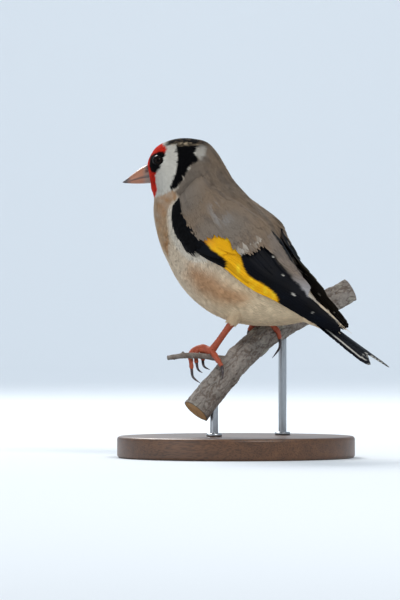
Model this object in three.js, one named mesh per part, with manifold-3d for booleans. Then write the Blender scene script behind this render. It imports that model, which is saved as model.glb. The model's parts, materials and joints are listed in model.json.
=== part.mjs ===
// European goldfinch gripping a cut branch, life size, on a plain display stand.
// Millimetres, +Z up. The bird faces -X and its left side faces -Y.
// The origin is the centre of the underside of the stand's base.
import * as THREE from 'three';
import { mergeVertices } from 'three/addons/utils/BufferGeometryUtils.js';
import Module from 'manifold-3d';

const wasm = await Module();
wasm.setup();

// Driving dimensions, in millimetres and degrees.
const GAP = 0.3;
const HEAD_TURN = 28;
const TURN_X = -15.1;

// Rings of the body from the face to the vent: x and z of the centre, tilt of the line
// from belly to back, half height along that line, half width, share of the head's turn.
const BODY = [
  [-34.05, 105.05, 101.3, 3.3, 3.0, 1],
  [-33.4, 105.7, 92.0, 5.9, 4.8, 1],
  [-31.95, 106.4, 86.3, 8.5, 6.6, 1],
  [-29.9, 106.35, 78.3, 10.9, 7.9, 1],
  [-27.4, 105.7, 68.7, 13.5, 9.0, 1],
  [-24.8, 104.3, 61.5, 15.7, 9.7, 1],
  [-22.2, 102.15, 56.4, 17.6, 10.3, 0.9],
  [-20.05, 98.65, 52.1, 18.3, 11.0, 0.75],
  [-18.2, 94.55, 49.0, 18.6, 12.2, 0.55],
  [-15.75, 89.6, 45.7, 18.85, 13.6, 0.35],
  [-12.3, 85.05, 42.0, 19.5, 15.0, 0.18],
  [-7.85, 79.65, 38.9, 20.5, 16.2, 0.05],
  [-2.75, 74.0, 36.2, 21.0, 17.0, 0],
  [1.5, 68.5, 38.1, 19.4, 17.2, 0],
  [6.7, 63.75, 40.3, 17.56, 16.4, 0],
  [12.6, 59.9, 42.8, 14.86, 14.8, 0],
  [19.05, 56.65, 43.5, 11.25, 12.2, 0],
  [25.75, 54.2, 43.6, 7.25, 9.4, 0],
  [32.05, 53.1, 39.5, 4.1, 6.8, 0],
  [35.85, 51.85, 48.7, 2.2, 5.0, 0],
];
const NECK_TOP = 6;
const NECK_BASE = 9;
const BODY_END = BODY.length - 1;
const JOIN_STEP = 0.1;
const BODY_SIDES = 26;
const BODY_STEP = 0.6;

// The folded wing follows the body as far as its seventh ring, then runs on over the tail.
const WING_ON_BODY = BODY.slice(8, 15).map((row) => [...row.slice(0, 5), 0]);
const WING_PAST_BODY = [
  [12.6, 59.9, 42.8, 14.9, 14.8, 0],
  [21.0, 57.3, 44.0, 11.0, 12.8, 0],
  [28.5, 54.3, 45.0, 8.0, 10.2, 0],
  [36.0, 50.9, 47.0, 5.4, 7.6, 0],
  [43.0, 47.7, 50.0, 3.2, 5.2, 0],
  [48.0, 45.4, 52.0, 1.5, 3.2, 0],
];
// Lower and upper edge of the folded wing on each of its rings, as angles up from the side.
const WING_LOW = [-6, -13, -13, -10, -3, 8, 11, 12, 10, 5, -3, -12, -20];
const WING_HIGH = [30, 38, 48, 58, 66, 71, 74, 76, 76, 72, 66, 60, 55];
const WING = [...WING_ON_BODY, ...WING_PAST_BODY].map((row, i) =>
  [...row, WING_LOW[i], WING_HIGH[i]]);
const WING_OUT = 1.6;
const SHELL_FROM = 0.5;
const SHELL_TO = 6.5;
const SHELL_THICK = 0.95;
const VANE_THICK = 0.5;

// Upper and lower half of the bill, from the face to the tip, before the head's turn:
// x, top, bottom, half width.
const BILL_UPPER = [
  [-33.0, 108.9, 104.3, 3.1],
  [-36.0, 107.5, 103.9, 2.6],
  [-39.0, 105.6, 103.1, 1.8],
  [-42.0, 103.3, 102.3, 0.8],
  [-43.8, 102.05, 101.8, 0.2],
];
const BILL_LOWER = [
  [-33.0, 104.0, 101.6, 2.9],
  [-36.0, 103.6, 101.3, 2.3],
  [-39.0, 102.8, 101.3, 1.5],
  [-41.8, 101.98, 101.4, 0.6],
  [-42.9, 101.7, 101.5, 0.2],
];
const NOSTRIL = { x: -35.3, y: 2.35, z: 106.7, r: 0.5 };
const EYE = { x: -30.5, y: 5.6, z: 109.9, r: 2.2 };
const LID = { out: 1.55, ring: 2.15, thick: 0.42 };

const TAIL_ROOT = new THREE.Vector3(30, 0, 55);
const TAIL_DROP = 34.1;
const TAIL_PAIRS = 6;
const TAIL_SHORT = 30.5;
const TAIL_LONG = 35.6;
const TAIL_WIDTH = 4.6;
const TAIL_SKEW = 0.8;

const LEG_R = 1.05;
const TOE_R = 0.9;
const CLAW_R = 0.5;
const BRANCH_R = 4.85;
const TWIG_R = 1.05;
const BRANCH_LINE = [
  [-7.2, -18, 17.6], [-2.8, -12, 25.8], [1.7, -5, 34.5], [4.8, 2, 40.2], [8.2, 9, 45.4],
  [9.6, 19, 49.1], [14, 28, 53.5], [21.3, 36, 58.1], [26.8, 41, 62],
];
const TWIG_LINE = [[1.5, -6, 36], [-8.5, -10, 37.6], [-13.4, -15, 37.8], [-17.9, -20, 37]];

// Each leg runs from the ball of the foot to inside the belly feathers. Each toe starts at
// the ball of the foot, and its claw goes on from its end.
const LEFT_BALL = [-5.6, -8.7, 39.6];
const RIGHT_BALL = [7.3, 8.5, 51.4];
const LEFT_LEG = [LEFT_BALL, [-1.4, -8.9, 44.6], [3.1, -9, 50.2], [5.8, -8.9, 54.2]];
const RIGHT_LEG = [RIGHT_BALL, [9.4, 8.9, 53.6], [12.2, 9.2, 57.2]];
const LEFT_TOES = [
  {
    toe: [[-9.6, -8.1, 40.7], [-12.6, -9.6, 39.9], [-13.1, -11.1, 37.8], [-12.6, -11.7, 35.4],
      [-12.3, -11.8, 32.6]],
    claw: [[-11.5, -12.1, 29.8], [-8.6, -12, 27.7]],
  },
  {
    toe: [[-9.6, -8.6, 40.9], [-11.4, -9.5, 39.4], [-11.5, -9.9, 37], [-11.0, -10.3, 34.8]],
    claw: [[-10.5, -10, 32.6], [-9, -9.4, 31.4]],
  },
  {
    toe: [[-8.3, -7.7, 40.1], [-9.6, -7.6, 38.2], [-9.6, -8.1, 35.8]],
    claw: [[-8.6, -8.8, 33.7], [-6.3, -8.7, 32.6]],
  },
  {
    toe: [[-3.3, -10.4, 37.8], [-0.6, -12.4, 35.6], [1, -13.1, 33.8]],
    claw: [[1.9, -14.1, 31.6], [1.6, -13.9, 29.2]],
  },
];
const RIGHT_TOES = [
  {
    toe: [[5.2, 7.7, 50.9], [3.1, 7.1, 49], [1.8, 6.8, 46.9]],
    claw: [[1.4, 6.9, 44.8], [2.4, 7.1, 42.9]],
  },
  {
    toe: [[5.6, 9.8, 51.7], [3.4, 10, 50.1], [2.1, 10, 47.8], [1.9, 9.6, 45.4]],
    claw: [[2.3, 9.3, 43.3], [3.7, 9.3, 41.4]],
  },
  {
    toe: [[6.3, 11.2, 52.2], [4.4, 13, 51.2], [3.2, 13.4, 49.2]],
    claw: [[2.9, 13.2, 47.1], [3.6, 13, 45.3]],
  },
  {
    toe: [[9, 7.3, 50.8], [10.3, 7.2, 48.9], [12.0, 8.1, 46.5], [12.8, 9.3, 44.1]],
    claw: [[12.9, 10.1, 40.6], [9.8, 10.3, 36.8]],
  },
];

const BASE_R = 44;
const BASE_HIGH = 8;
const BASE_CHAMFER = 1.2;
const ROD_R = 1.5;
const ROD_A = { x: -2.8, y: -12, top: 25 };
const ROD_B = { x: 9.6, y: 19, top: 49 };

const { lerp, degToRad } = THREE.MathUtils;
const range = (count) => Array.from({ length: count }, (_, i) => i);
const vector = ([x, y, z]) => new THREE.Vector3(x, y, z);

// Catmull-Rom value of one column between two rows of a table.
function between(a, b, c, d, t) {
  const linear = (c - a) * t;
  const square = (2 * a - 5 * b + 4 * c - d) * t * t;
  const cubic = (3 * b - a - 3 * c + d) * t * t * t;
  return 0.5 * (2 * b + linear + square + cubic);
}

function rowAt(table, index) {
  const last = table.length - 1;
  const k = THREE.MathUtils.clamp(Math.floor(index), 0, last - 1);
  const rows = [k - 1, k, k + 1, k + 2].map((r) => table[THREE.MathUtils.clamp(r, 0, last)]);
  return rows[1].map((_, c) => between(...rows.map((row) => row[c]), index - k));
}

// Turns a point of the head or neck to the bird's left about an upright axis in the neck.
function turned(x, y, z, share = 1) {
  const angle = degToRad(HEAD_TURN * share);
  const [cos, sin, dx] = [Math.cos(angle), Math.sin(angle), x - TURN_X];
  return new THREE.Vector3(TURN_X + dx * cos - y * sin, dx * sin + y * cos, z);
}

// Point on a table's surface. The angle is 0 at the side and 90 at the back.
function surfacePoint(table, index, angle, side, out) {
  const [x, z, tilt, high, wide, share] = rowAt(table, index);
  const up = (high + out) * Math.sin(degToRad(angle));
  const across = side * (wide + out) * Math.cos(degToRad(angle));
  const lean = degToRad(tilt);
  return turned(x + Math.cos(lean) * up, across, z + Math.sin(lean) * up, share);
}

// Closed solid from points and triangles, with its faces turned outward.
function closedSolid(points, faces) {
  const volume = faces.reduce((sum, [a, b, c]) => {
    const normal = new THREE.Vector3().crossVectors(points[b], points[c]);
    return sum + points[a].dot(normal);
  }, 0);
  const order = volume < 0 ? faces.map(([a, b, c]) => [a, c, b]) : faces;
  const vertProperties = new Float32Array(points.flatMap((p) => [p.x, p.y, p.z]));
  const triVerts = new Uint32Array(order.flat());
  return new wasm.Manifold(new wasm.Mesh({ numProp: 3, vertProperties, triVerts }));
}

// Skin over a row of rings. The second half of each ring lies under the first half, and
// its faces are split along the same diagonals, so that a thin bent vane stays closed.
function loft(rings) {
  const n = rings[0].length;
  const points = rings.flat();
  const faces = [];
  for (let r = 0; r < rings.length - 1; r++) {
    for (let j = 0; j < n; j++) {
      const [a, b] = [r * n + j, r * n + ((j + 1) % n)];
      const [c, d] = [b + n, a + n];
      faces.push(...(j < n / 2 ? [[a, b, c], [a, c, d]] : [[a, b, d], [b, c, d]]));
    }
  }
  const end = (rings.length - 1) * n;
  for (let j = 0; j < n / 2 - 1; j++) {
    const [a, b, c, d] = [j, j + 1, n - 2 - j, n - 1 - j];
    faces.push([a, c, b], [a, d, c]);
    faces.push([end + a, end + b, end + c], [end + a, end + c, end + d]);
  }
  return closedSolid(points, faces);
}

function solidOf(geometry) {
  geometry.deleteAttribute('normal');
  geometry.deleteAttribute('uv');
  const merged = mergeVertices(geometry, 1e-4);
  const array = merged.attributes.position;
  const points = range(array.count).map((i) => new THREE.Vector3().fromBufferAttribute(array, i));
  const flat = Array.from(merged.index.array);
  const faces = range(flat.length / 3).map((i) => flat.slice(3 * i, 3 * i + 3));
  return closedSolid(points, faces.filter(([a, b, c]) => a !== b && b !== c && c !== a));
}

const joined = (solids) => solids.reduce((sum, next) => sum.add(next));

function largest(solid) {
  return solid.decompose().reduce((best, next) => (next.volume() > best.volume() ? next : best));
}

// Tapered round limb along a smooth curve. Radii are spread evenly from root to tip.
function limb(line, radii, { sides = 8, steps = 10, swell = () => 0 } = {}) {
  const curve = new THREE.CatmullRomCurve3(line.map(vector), false, 'centripetal');
  const { normals, binormals } = curve.computeFrenetFrames(steps);
  const rings = range(steps + 1).map((k) => {
    const place = (k / steps) * (radii.length - 1);
    const low = Math.min(Math.floor(place), radii.length - 2);
    const radius = lerp(radii[low], radii[low + 1], place - low);
    const centre = curve.getPointAt(k / steps);
    return range(sides).map((j) => {
      const angle = (2 * Math.PI * j) / sides;
      const r = radius + swell(k / steps, angle);
      return centre.clone()
        .addScaledVector(normals[k], r * Math.cos(angle))
        .addScaledVector(binormals[k], r * Math.sin(angle));
    });
  });
  return loft(rings);
}

function bodyForm(from, to, grow = 0) {
  const count = Math.ceil((to - from) / BODY_STEP);
  return loft(range(count + 1).map((k) => {
    const index = lerp(from, to, k / count);
    return range(BODY_SIDES).map((j) =>
      surfacePoint(BODY, index, (360 * (j + 0.5)) / BODY_SIDES, 1, grow));
  }));
}

const neckGrown = bodyForm(NECK_TOP, NECK_BASE, GAP);
const torsoGrown = bodyForm(NECK_BASE, BODY_END, GAP);

function eyeBall(side, grow = 0) {
  const ball = new THREE.SphereGeometry(EYE.r + grow, 14, 9);
  const centre = turned(EYE.x, side * EYE.y, EYE.z);
  return ball.translate(centre.x, centre.y, centre.z);
}

// Raised rim of the lids round each eye.
function lidRing(side) {
  const ring = new THREE.TorusGeometry(LID.ring, LID.thick, 6, 16);
  ring.scale(1.08, 0.94, 1);
  ring.rotateX(Math.PI / 2);
  ring.rotateZ(degToRad(HEAD_TURN - side * 14));
  const centre = turned(EYE.x, side * (EYE.y + LID.out), EYE.z);
  return ring.translate(centre.x, centre.y, centre.z);
}

function headForm() {
  const rings = bodyForm(0, NECK_TOP - JOIN_STEP);
  const sides = [-1, 1];
  const withLids = joined([rings, ...sides.map((side) => solidOf(lidRing(side)))]);
  return sides.reduce((head, side) => head.subtract(solidOf(eyeBall(side, GAP))), withLids);
}

// Half of the bill: an arch over or under a flat that lies along the line of the mouth.
function billHalf(rows, arch) {
  const angles = range(7).map((j) => degToRad(8 + (164 * j) / 6));
  return loft(rows.map(([x, top, bottom, wide]) => {
    const flat = arch > 0 ? bottom : top;
    const ridge = angles.map((angle) => turned(x, wide * Math.cos(angle),
      flat + arch * (top - bottom) * Math.sin(angle)));
    const mouth = angles.map((angle) => turned(x, wide * Math.cos(angle), flat));
    return [...ridge, ...mouth.reverse()];
  }));
}

function nostril(side) {
  const pit = new THREE.SphereGeometry(NOSTRIL.r, 8, 6);
  const centre = turned(NOSTRIL.x, side * NOSTRIL.y, NOSTRIL.z);
  return solidOf(pit.translate(centre.x, centre.y, centre.z));
}

// Outline of a vane: place along the feather and share of the full width.
const LONG_VANE = [[0, 0.7], [0.35, 1], [0.7, 1], [0.92, 0.75], [1, 0.28]];
const ROUND_VANE = [[0, 0.7], [0.6, 1], [0.88, 0.8], [1, 0.36]];

// One flat feather. path(t, lift) is its middle line, raised by lift from what it lies on.
function vane(path, width, outline) {
  const step = 0.02;
  return loft(outline.map(([t, share]) => {
    const here = path(t, 0);
    const along = path(t + step, 0).sub(path(t - step, 0)).normalize();
    const up = path(t, 1).sub(here).projectOnPlane(along).normalize();
    const across = new THREE.Vector3().crossVectors(along, up);
    const corner = (sideways, upward) => here.clone()
      .addScaledVector(across, (sideways * width * share) / 2)
      .addScaledVector(up, (upward * VANE_THICK) / 2);
    return [[-1, 1], [1, 1], [1, -1], [-1, -1]].map(([s, u]) => corner(s, u));
  }));
}

// Point on the folded wing: ring index, distance up from the lower edge, and lift.
function wingPoint(side, index, above, lift) {
  const row = rowAt(WING, index);
  const radius = (row[3] + row[4]) / 2 + WING_OUT;
  const angle = row[6] + THREE.MathUtils.radToDeg(above / radius);
  return surfacePoint(WING, index, angle, side, WING_OUT + lift);
}

function wingFeather(side, { root, tip, width, lift = 0, rise = lift, outline = LONG_VANE }) {
  const path = (t, raised) => wingPoint(side, lerp(root[0], tip[0], t),
    lerp(root[1], tip[1], t), lerp(lift, rise, t) + raised);
  return vane(path, width, outline);
}

// Feather tiers of a folded wing. Each feather lies over the one below it on the wing,
// and the coverts lie over the roots of the long feathers.
const PRIMARIES = range(8).map((k) => ({
  root: [3.0 + 0.15 * k, 2 + 0.95 * k],
  tip: [11.4 - 0.06 * (k - 1) ** 2, 1.3 + 0.9 * k],
  width: 3.4, lift: -0.65 + 0.06 * k, rise: -0.65 + 0.12 * k,
}));
const SECONDARIES = range(6).map((k) => ({
  root: [3.9 + 0.15 * k, 9.5 + 2.3 * k],
  tip: [9.1 - 0.08 * k, 6.8 + 1.0 * k],
  width: 3.8, lift: -0.5 + 0.07 * k, rise: 0.1 + 0.14 * k,
}));
const TERTIALS = range(3).map((k) => ({
  root: [4.5 + 0.3 * k, 21.5 + 2 * k],
  tip: [8.6 - 0.55 * k, 11.5 + 2 * k],
  width: 5.6, lift: 0.15 * k, rise: 0.9 + 0.35 * k, outline: ROUND_VANE,
}));
const PRIMARY_COVERTS = range(3).map((k) => ({
  root: [1.9 + 0.15 * k, 2.2 + 1.5 * k],
  tip: [4.6 - 0.05 * k, 4 + 2 * k],
  width: 3.4, lift: -0.2 + 0.08 * k, rise: 0.1 * k, outline: ROUND_VANE,
}));
const ALULA = range(2).map((k) => ({
  root: [0.8, 3 + 2.2 * k],
  tip: [2.9 - 0.4 * k, 4 + 2 * k],
  width: 3, lift: 0.1 + 0.12 * k, rise: 0.45 + 0.1 * k, outline: ROUND_VANE,
}));
const GREATER_COVERTS = range(6).map((k) => ({
  root: [3.2 + 0.16 * k, 8.5 + 2.9 * k],
  tip: [5.1 + 0.12 * k, 10 + 2.8 * k],
  width: 4.0, lift: 0.05 * k, rise: 0.5 + 0.07 * k, outline: ROUND_VANE,
}));
const MEDIAN_COVERTS = range(5).map((k) => ({
  root: [2 + 0.14 * k, 7 + 3.4 * k],
  tip: [3.6 + 0.12 * k, 9 + 3.6 * k],
  width: 4.4, lift: 0.3, rise: 0.95, outline: ROUND_VANE,
}));
const WING_TIERS = [
  PRIMARIES, SECONDARIES, TERTIALS, PRIMARY_COVERTS, ALULA, GREATER_COVERTS, MEDIAN_COVERTS,
];

// Curved shell under the feathers, from the wrist to past the middle of the wing.
function wingShell(side) {
  const across = 6;
  const count = 8;
  return loft(range(count + 1).map((k) => {
    const index = lerp(SHELL_FROM, SHELL_TO, k / count);
    const [low, high] = rowAt(WING, index).slice(6);
    const angles = range(across + 1).map((j) => lerp(low + 4, high, j / across));
    const face = (lift) => angles.map((angle) =>
      surfacePoint(WING, index, angle, side, WING_OUT + lift));
    return [...face(0), ...face(-SHELL_THICK).reverse()];
  }));
}

// The pair of central feathers lies on top, and each outer pair is longer and lower.
function tailFeather(side, pair, grow = 0) {
  const drop = degToRad(TAIL_DROP);
  const along = new THREE.Vector3(Math.cos(drop), 0, -Math.sin(drop));
  const roll = degToRad(5 + 3 * pair);
  const up = new THREE.Vector3(Math.sin(drop) * Math.cos(roll), side * Math.sin(roll),
    Math.cos(drop) * Math.cos(roll));
  const length = lerp(TAIL_SHORT, TAIL_LONG, pair / (TAIL_PAIRS - 1)) + side * TAIL_SKEW;
  const level = (side < 0 ? 0.18 : 0) - 0.2 * pair;
  const path = (t, raised) => TAIL_ROOT.clone()
    .addScaledVector(along, length * t)
    .add(new THREE.Vector3(0, side * lerp(0.3 + 0.5 * pair, 1.2 + 1.15 * pair, t), 0))
    .addScaledVector(up, raised + level + grow);
  return vane(path, TAIL_WIDTH + 2 * grow, LONG_VANE);
}

function tailForm(grow = 0) {
  const levels = grow > 0 ? [-grow, 0, grow] : [0];
  const feathers = [-1, 1].flatMap((side) => range(TAIL_PAIRS).flatMap((pair) =>
    levels.map((level) => tailFeather(side, pair, level))));
  const drop = degToRad(TAIL_DROP);
  const wedge = loft([[0, 1.5, 3.6], [11, 0.7 + grow, 3.2 + grow]].map(([s, high, wide]) =>
    range(8).map((j) => {
      const angle = (2 * Math.PI * (j + 0.5)) / 8;
      const [rise, across] = [high * Math.sin(angle) - 0.9, wide * Math.cos(angle)];
      return new THREE.Vector3(
        TAIL_ROOT.x + s * Math.cos(drop) + rise * Math.sin(drop), across,
        TAIL_ROOT.z - s * Math.sin(drop) + rise * Math.cos(drop));
    })));
  return joined([wedge, ...feathers]);
}

// Everything on one side of the bird's middle plane, clear of it by a little.
function halfSpace(side) {
  const half = new THREE.BoxGeometry(200, 60, 200);
  return solidOf(half.translate(0, side * (30 + GAP / 2), 80));
}

function wingForm(side, tailGrown) {
  const feathers = WING_TIERS.flat().map((feather) => wingFeather(side, feather));
  const whole = joined([wingShell(side), ...feathers]).intersect(halfSpace(side));
  return largest(whole.subtract(neckGrown).subtract(torsoGrown).subtract(tailGrown));
}

// A branch with low swellings where old shoots grew.
function branchForm(grow = 0) {
  const swell = (t, angle) => grow + 0.22 * Math.sin(5 * angle + 9 * t)
    + 0.35 * Math.max(0, Math.sin(31 * t + angle)) ** 6;
  return limb(BRANCH_LINE, [BRANCH_R + 0.3, BRANCH_R, BRANCH_R, BRANCH_R - 0.2, BRANCH_R - 0.4],
    { sides: 12, steps: 20, swell });
}

function twigForm(grow = 0) {
  return limb(TWIG_LINE, [TWIG_R + 0.3, TWIG_R, TWIG_R, TWIG_R - 0.15],
    { sides: 8, steps: 10, swell: () => grow });
}

const branchGrown = branchForm(GAP);
const perchGrown = branchGrown.add(twigForm(GAP));

const legForm = (line, grow = 0) =>
  limb(line, [LEG_R + 0.25, LEG_R, LEG_R, LEG_R + 0.3, LEG_R + 0.5],
    { sides: 8, steps: 6, swell: () => grow });

// Toes with soft pads at their joints, and curved claws, joined at the ball of the foot.
function footForm(ball, toes, grow = 0) {
  const pads = (t) => grow + 0.1 * Math.cos(6 * Math.PI * t);
  const forms = toes.flatMap(({ toe, claw }) => {
    const end = toe[toe.length - 1];
    return [
      limb([ball, ...toe], [TOE_R + 0.15, TOE_R, TOE_R - 0.1, TOE_R - 0.3],
        { sides: 6, steps: 7, swell: pads }),
      limb([toe[toe.length - 2], end, ...claw], [CLAW_R, CLAW_R, CLAW_R, 0.36, 0.12],
        { sides: 6, steps: 6, swell: () => grow }),
    ];
  });
  const centre = new THREE.SphereGeometry(LEG_R + 0.45 + grow, 10, 8);
  return joined([solidOf(centre.translate(...ball)), ...forms]);
}

const feet = [
  { name: 'left', ball: LEFT_BALL, toes: LEFT_TOES, leg: LEFT_LEG },
  { name: 'right', ball: RIGHT_BALL, toes: RIGHT_TOES, leg: RIGHT_LEG },
].map((foot) => ({
  ...foot,
  grown: footForm(foot.ball, foot.toes, GAP).add(legForm(foot.leg, GAP)),
}));

// Feathered thighs run down to the tops of the legs.
const thighs = [
  limb([[9, -8.5, 58], [5.4, -8.8, 54], [3.6, -9, 51.2]], [5, 3.6, 1.9], { steps: 6 }),
  limb([[15, 8.5, 60], [11.5, 8.8, 55.6], [10, 8.9, 53.6]], [5, 3.4, 1.9], { steps: 6 }),
];

function torsoForm() {
  const whole = joined([bodyForm(NECK_BASE, BODY_END), ...thighs]);
  return largest(feet.reduce((body, foot) => body.subtract(foot.grown), whole)
    .subtract(branchGrown));
}

function baseGeometry() {
  const inner = BASE_R - BASE_CHAMFER;
  const profile = [[0, 0], [inner, 0], [BASE_R, BASE_CHAMFER], [BASE_R, BASE_HIGH - BASE_CHAMFER],
    [inner, BASE_HIGH], [0, BASE_HIGH]];
  const lathe = new THREE.LatheGeometry(profile.map(([r, z]) => new THREE.Vector2(r, z)), 48);
  return lathe.rotateX(Math.PI / 2);
}

// A rod stands on the base and ends in a saddle under the branch.
function rodForm({ x, y, top }) {
  const foot = BASE_HIGH + GAP;
  const rod = new THREE.CylinderGeometry(ROD_R, ROD_R, top - foot, 20).rotateX(Math.PI / 2);
  return largest(solidOf(rod.translate(x, y, (top + foot) / 2)).subtract(branchGrown));
}

const FINISHES = {
  plumage: { color: 0xa98a68, roughness: 0.95, metalness: 0 },
  red: { color: 0xb3261b, roughness: 0.95, metalness: 0 },
  flight: { color: 0x14151c, roughness: 0.6, metalness: 0 },
  bill: { color: 0xd9b9a4, roughness: 0.45, metalness: 0 },
  eye: { color: 0x120b08, roughness: 0.08, metalness: 0 },
  scale: { color: 0xb4583c, roughness: 0.6, metalness: 0 },
  bark: { color: 0x6f655c, roughness: 0.95, metalness: 0 },
  wood: { color: 0x5a3a24, roughness: 0.5, metalness: 0 },
  steel: { color: 0xb8bcc0, roughness: 0.3, metalness: 1 },
};

const group = new THREE.Group();

function place(name, shape, finish) {
  const isGeometry = shape.isBufferGeometry === true;
  const { vertProperties, triVerts } = (isGeometry ? solidOf(shape) : shape).getMesh();
  const geometry = new THREE.BufferGeometry();
  geometry.setAttribute('position', new THREE.BufferAttribute(vertProperties, 3));
  geometry.setIndex(new THREE.BufferAttribute(triVerts, 1));
  geometry.computeVertexNormals();
  const mesh = new THREE.Mesh(geometry, new THREE.MeshStandardMaterial(FINISHES[finish]));
  mesh.name = name;
  group.add(mesh);
}

const headGrown = bodyForm(0, NECK_TOP, GAP);
const tailSolid = largest(tailForm().subtract(torsoGrown));
const tailGrown = tailForm(GAP);

place('head', largest(headForm()), 'red');
place('neck', bodyForm(NECK_TOP, NECK_BASE - JOIN_STEP), 'plumage');
place('torso', torsoForm(), 'plumage');
place('tail', tailSolid, 'flight');
place('wing_left', wingForm(-1, tailGrown), 'flight');
place('wing_right', wingForm(1, tailGrown), 'flight');
const billUpper = billHalf(BILL_UPPER, 1).subtract(headGrown);
place('bill_upper', largest(billUpper.subtract(nostril(-1)).subtract(nostril(1))), 'bill');
place('bill_lower', largest(billHalf(BILL_LOWER, -1).subtract(headGrown)), 'bill');
place('eye_left', eyeBall(-1), 'eye');
place('eye_right', eyeBall(1), 'eye');
for (const { name, ball, toes, leg } of feet) {
  const ballGrown = footForm(ball, toes, GAP);
  place(`leg_${name}`, largest(legForm(leg).subtract(ballGrown)), 'scale');
  place(`foot_${name}`, largest(footForm(ball, toes).subtract(perchGrown)), 'scale');
}
place('perch_branch', branchForm(), 'bark');
place('perch_twig', largest(twigForm().subtract(branchGrown)), 'bark');
place('stand_base', baseGeometry(), 'wood');
place('stand_rod_a', rodForm(ROD_A), 'steel');
place('stand_rod_b', rodForm(ROD_B), 'steel');

export default group;
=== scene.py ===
# %% [markdown]
# A European goldfinch, life size, gripping a cut branch on a plain display stand.
# The lesson starts from the solids of the bird, which fix every size, and dresses them:
# feathers one by one, horn, scaled skin, bark and a turned wooden base.

# %% Load the solids as a fixed frame
import json
import math

import bpy
import numpy as np
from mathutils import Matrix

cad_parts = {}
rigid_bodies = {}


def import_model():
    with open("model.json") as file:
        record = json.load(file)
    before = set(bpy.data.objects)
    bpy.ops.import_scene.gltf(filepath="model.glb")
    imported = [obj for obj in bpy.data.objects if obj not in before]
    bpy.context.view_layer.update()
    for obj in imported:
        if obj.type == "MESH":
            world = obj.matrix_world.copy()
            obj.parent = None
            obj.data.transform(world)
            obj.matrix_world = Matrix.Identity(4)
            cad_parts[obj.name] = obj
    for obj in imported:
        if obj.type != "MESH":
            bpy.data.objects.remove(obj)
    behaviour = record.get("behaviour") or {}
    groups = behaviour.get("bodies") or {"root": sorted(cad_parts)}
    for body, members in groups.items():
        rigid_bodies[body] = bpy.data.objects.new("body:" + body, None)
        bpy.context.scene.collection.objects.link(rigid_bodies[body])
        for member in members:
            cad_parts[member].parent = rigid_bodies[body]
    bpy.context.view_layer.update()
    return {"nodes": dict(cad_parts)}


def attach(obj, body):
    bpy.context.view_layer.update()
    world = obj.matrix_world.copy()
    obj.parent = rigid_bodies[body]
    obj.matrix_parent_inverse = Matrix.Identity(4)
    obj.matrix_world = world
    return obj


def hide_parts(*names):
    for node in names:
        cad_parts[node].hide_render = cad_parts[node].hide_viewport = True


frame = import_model()
print("solids:", len(frame["nodes"]), "nodes")

# %% [markdown]
# All shapes below are worked out in millimetres, as a bird is measured, and one number
# turns them to Blender's metres. One seeded generator keeps every run the same.

# %% Units and chance
MM = 0.001
rng = np.random.default_rng(11)
print("a millimetre is", MM, "metres")

# %% [markdown]
# A mesh of many thousand feathers is made from arrays, because adding one face at a time
# is slow. A piece may carry two things for its material: a colour at each point, and a
# place on an unwrap of the skin, which a later bake needs.

# %% Make a piece from arrays
def faces_in(points, groups):
    """Whether the faces of a closed piece are wound so that they look inward."""
    middle = points.mean(axis=0)
    volume = 0
    for group in groups:
        corner = [points[group[:, k]] - middle for k in range(group.shape[1])]
        for k in range(2, group.shape[1]):
            volume += np.sum(corner[0] * np.cross(corner[k - 1], corner[k]))
    return volume < 0

def make_piece(name, points, faces, material, replaces=(), colours=None, places=None,
               normals=None, closed=True):
    mesh = bpy.data.meshes.new(name)
    groups = faces if isinstance(faces, list) else [faces]
    if closed and faces_in(points, groups):
        groups = [group[:, ::-1] for group in groups]
    corners = np.concatenate([g.ravel() for g in groups]).astype(np.int32)
    sizes = np.concatenate([np.full(len(g), g.shape[1]) for g in groups])
    starts = np.concatenate([[0], np.cumsum(sizes)[:-1]]).astype(np.int32)
    mesh.vertices.add(len(points))
    mesh.vertices.foreach_set("co", (np.asarray(points) * MM).astype(np.float32).ravel())
    mesh.loops.add(len(corners))
    mesh.loops.foreach_set("vertex_index", corners)
    mesh.polygons.add(len(sizes))
    mesh.polygons.foreach_set("loop_start", starts)
    mesh.polygons.foreach_set("use_smooth", np.ones(len(sizes), bool))
    mesh.update(calc_edges=True)
    if colours is not None:
        layer = mesh.color_attributes.new(name="Markings", type="FLOAT_COLOR", domain="POINT")
        tints = np.ones((len(points), 4), np.float32)
        tints[:, :3] = np.clip(colours, 0, 1)
        layer.data.foreach_set("color", tints.ravel())
    if places is not None:
        uv = mesh.uv_layers.new(name="OFBake")
        uv.data.foreach_set("uv", np.asarray(places, np.float32)[corners].ravel())
    if normals is not None:
        mesh.normals_split_custom_set_from_vertices(normals)
    mesh.materials.append(material)
    piece = bpy.data.objects.new(name, mesh)
    bpy.context.scene.collection.objects.link(piece)
    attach(piece, "root")
    if replaces:
        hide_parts(*replaces)
    print(f"{name}: {len(sizes)} faces")
    return piece

# %% [markdown]
# Most forms here are rings of points, one after another like the hoops of a barrel. Their
# faces join each point to its neighbour on the ring and to the next ring. A thin shell is
# built the same way, with every ring running along its top and back underneath.

# %% Faces between rings
def ring_faces(steps, sides):
    """Four-cornered faces that join rings, with as many points on each as it has sides."""
    step, col = np.arange(steps - 1)[:, None] * sides, np.arange(sides)[None, :]
    after = (col + 1) % sides
    faces = np.stack([step + col, step + sides + col, step + sides + after, step + after], -1)
    return faces.reshape(-1, 4)

def end_fans(steps, sides):
    """Three-cornered faces that close both ends on two middle points added last."""
    ring = np.arange(sides)
    after, last, middle = (ring + 1) % sides, (steps - 1) * sides, steps * sides + 0 * ring
    return np.vstack([np.stack([middle, ring, after], 1),
                      np.stack([middle + 1, last + after, last + ring], 1)])

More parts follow.
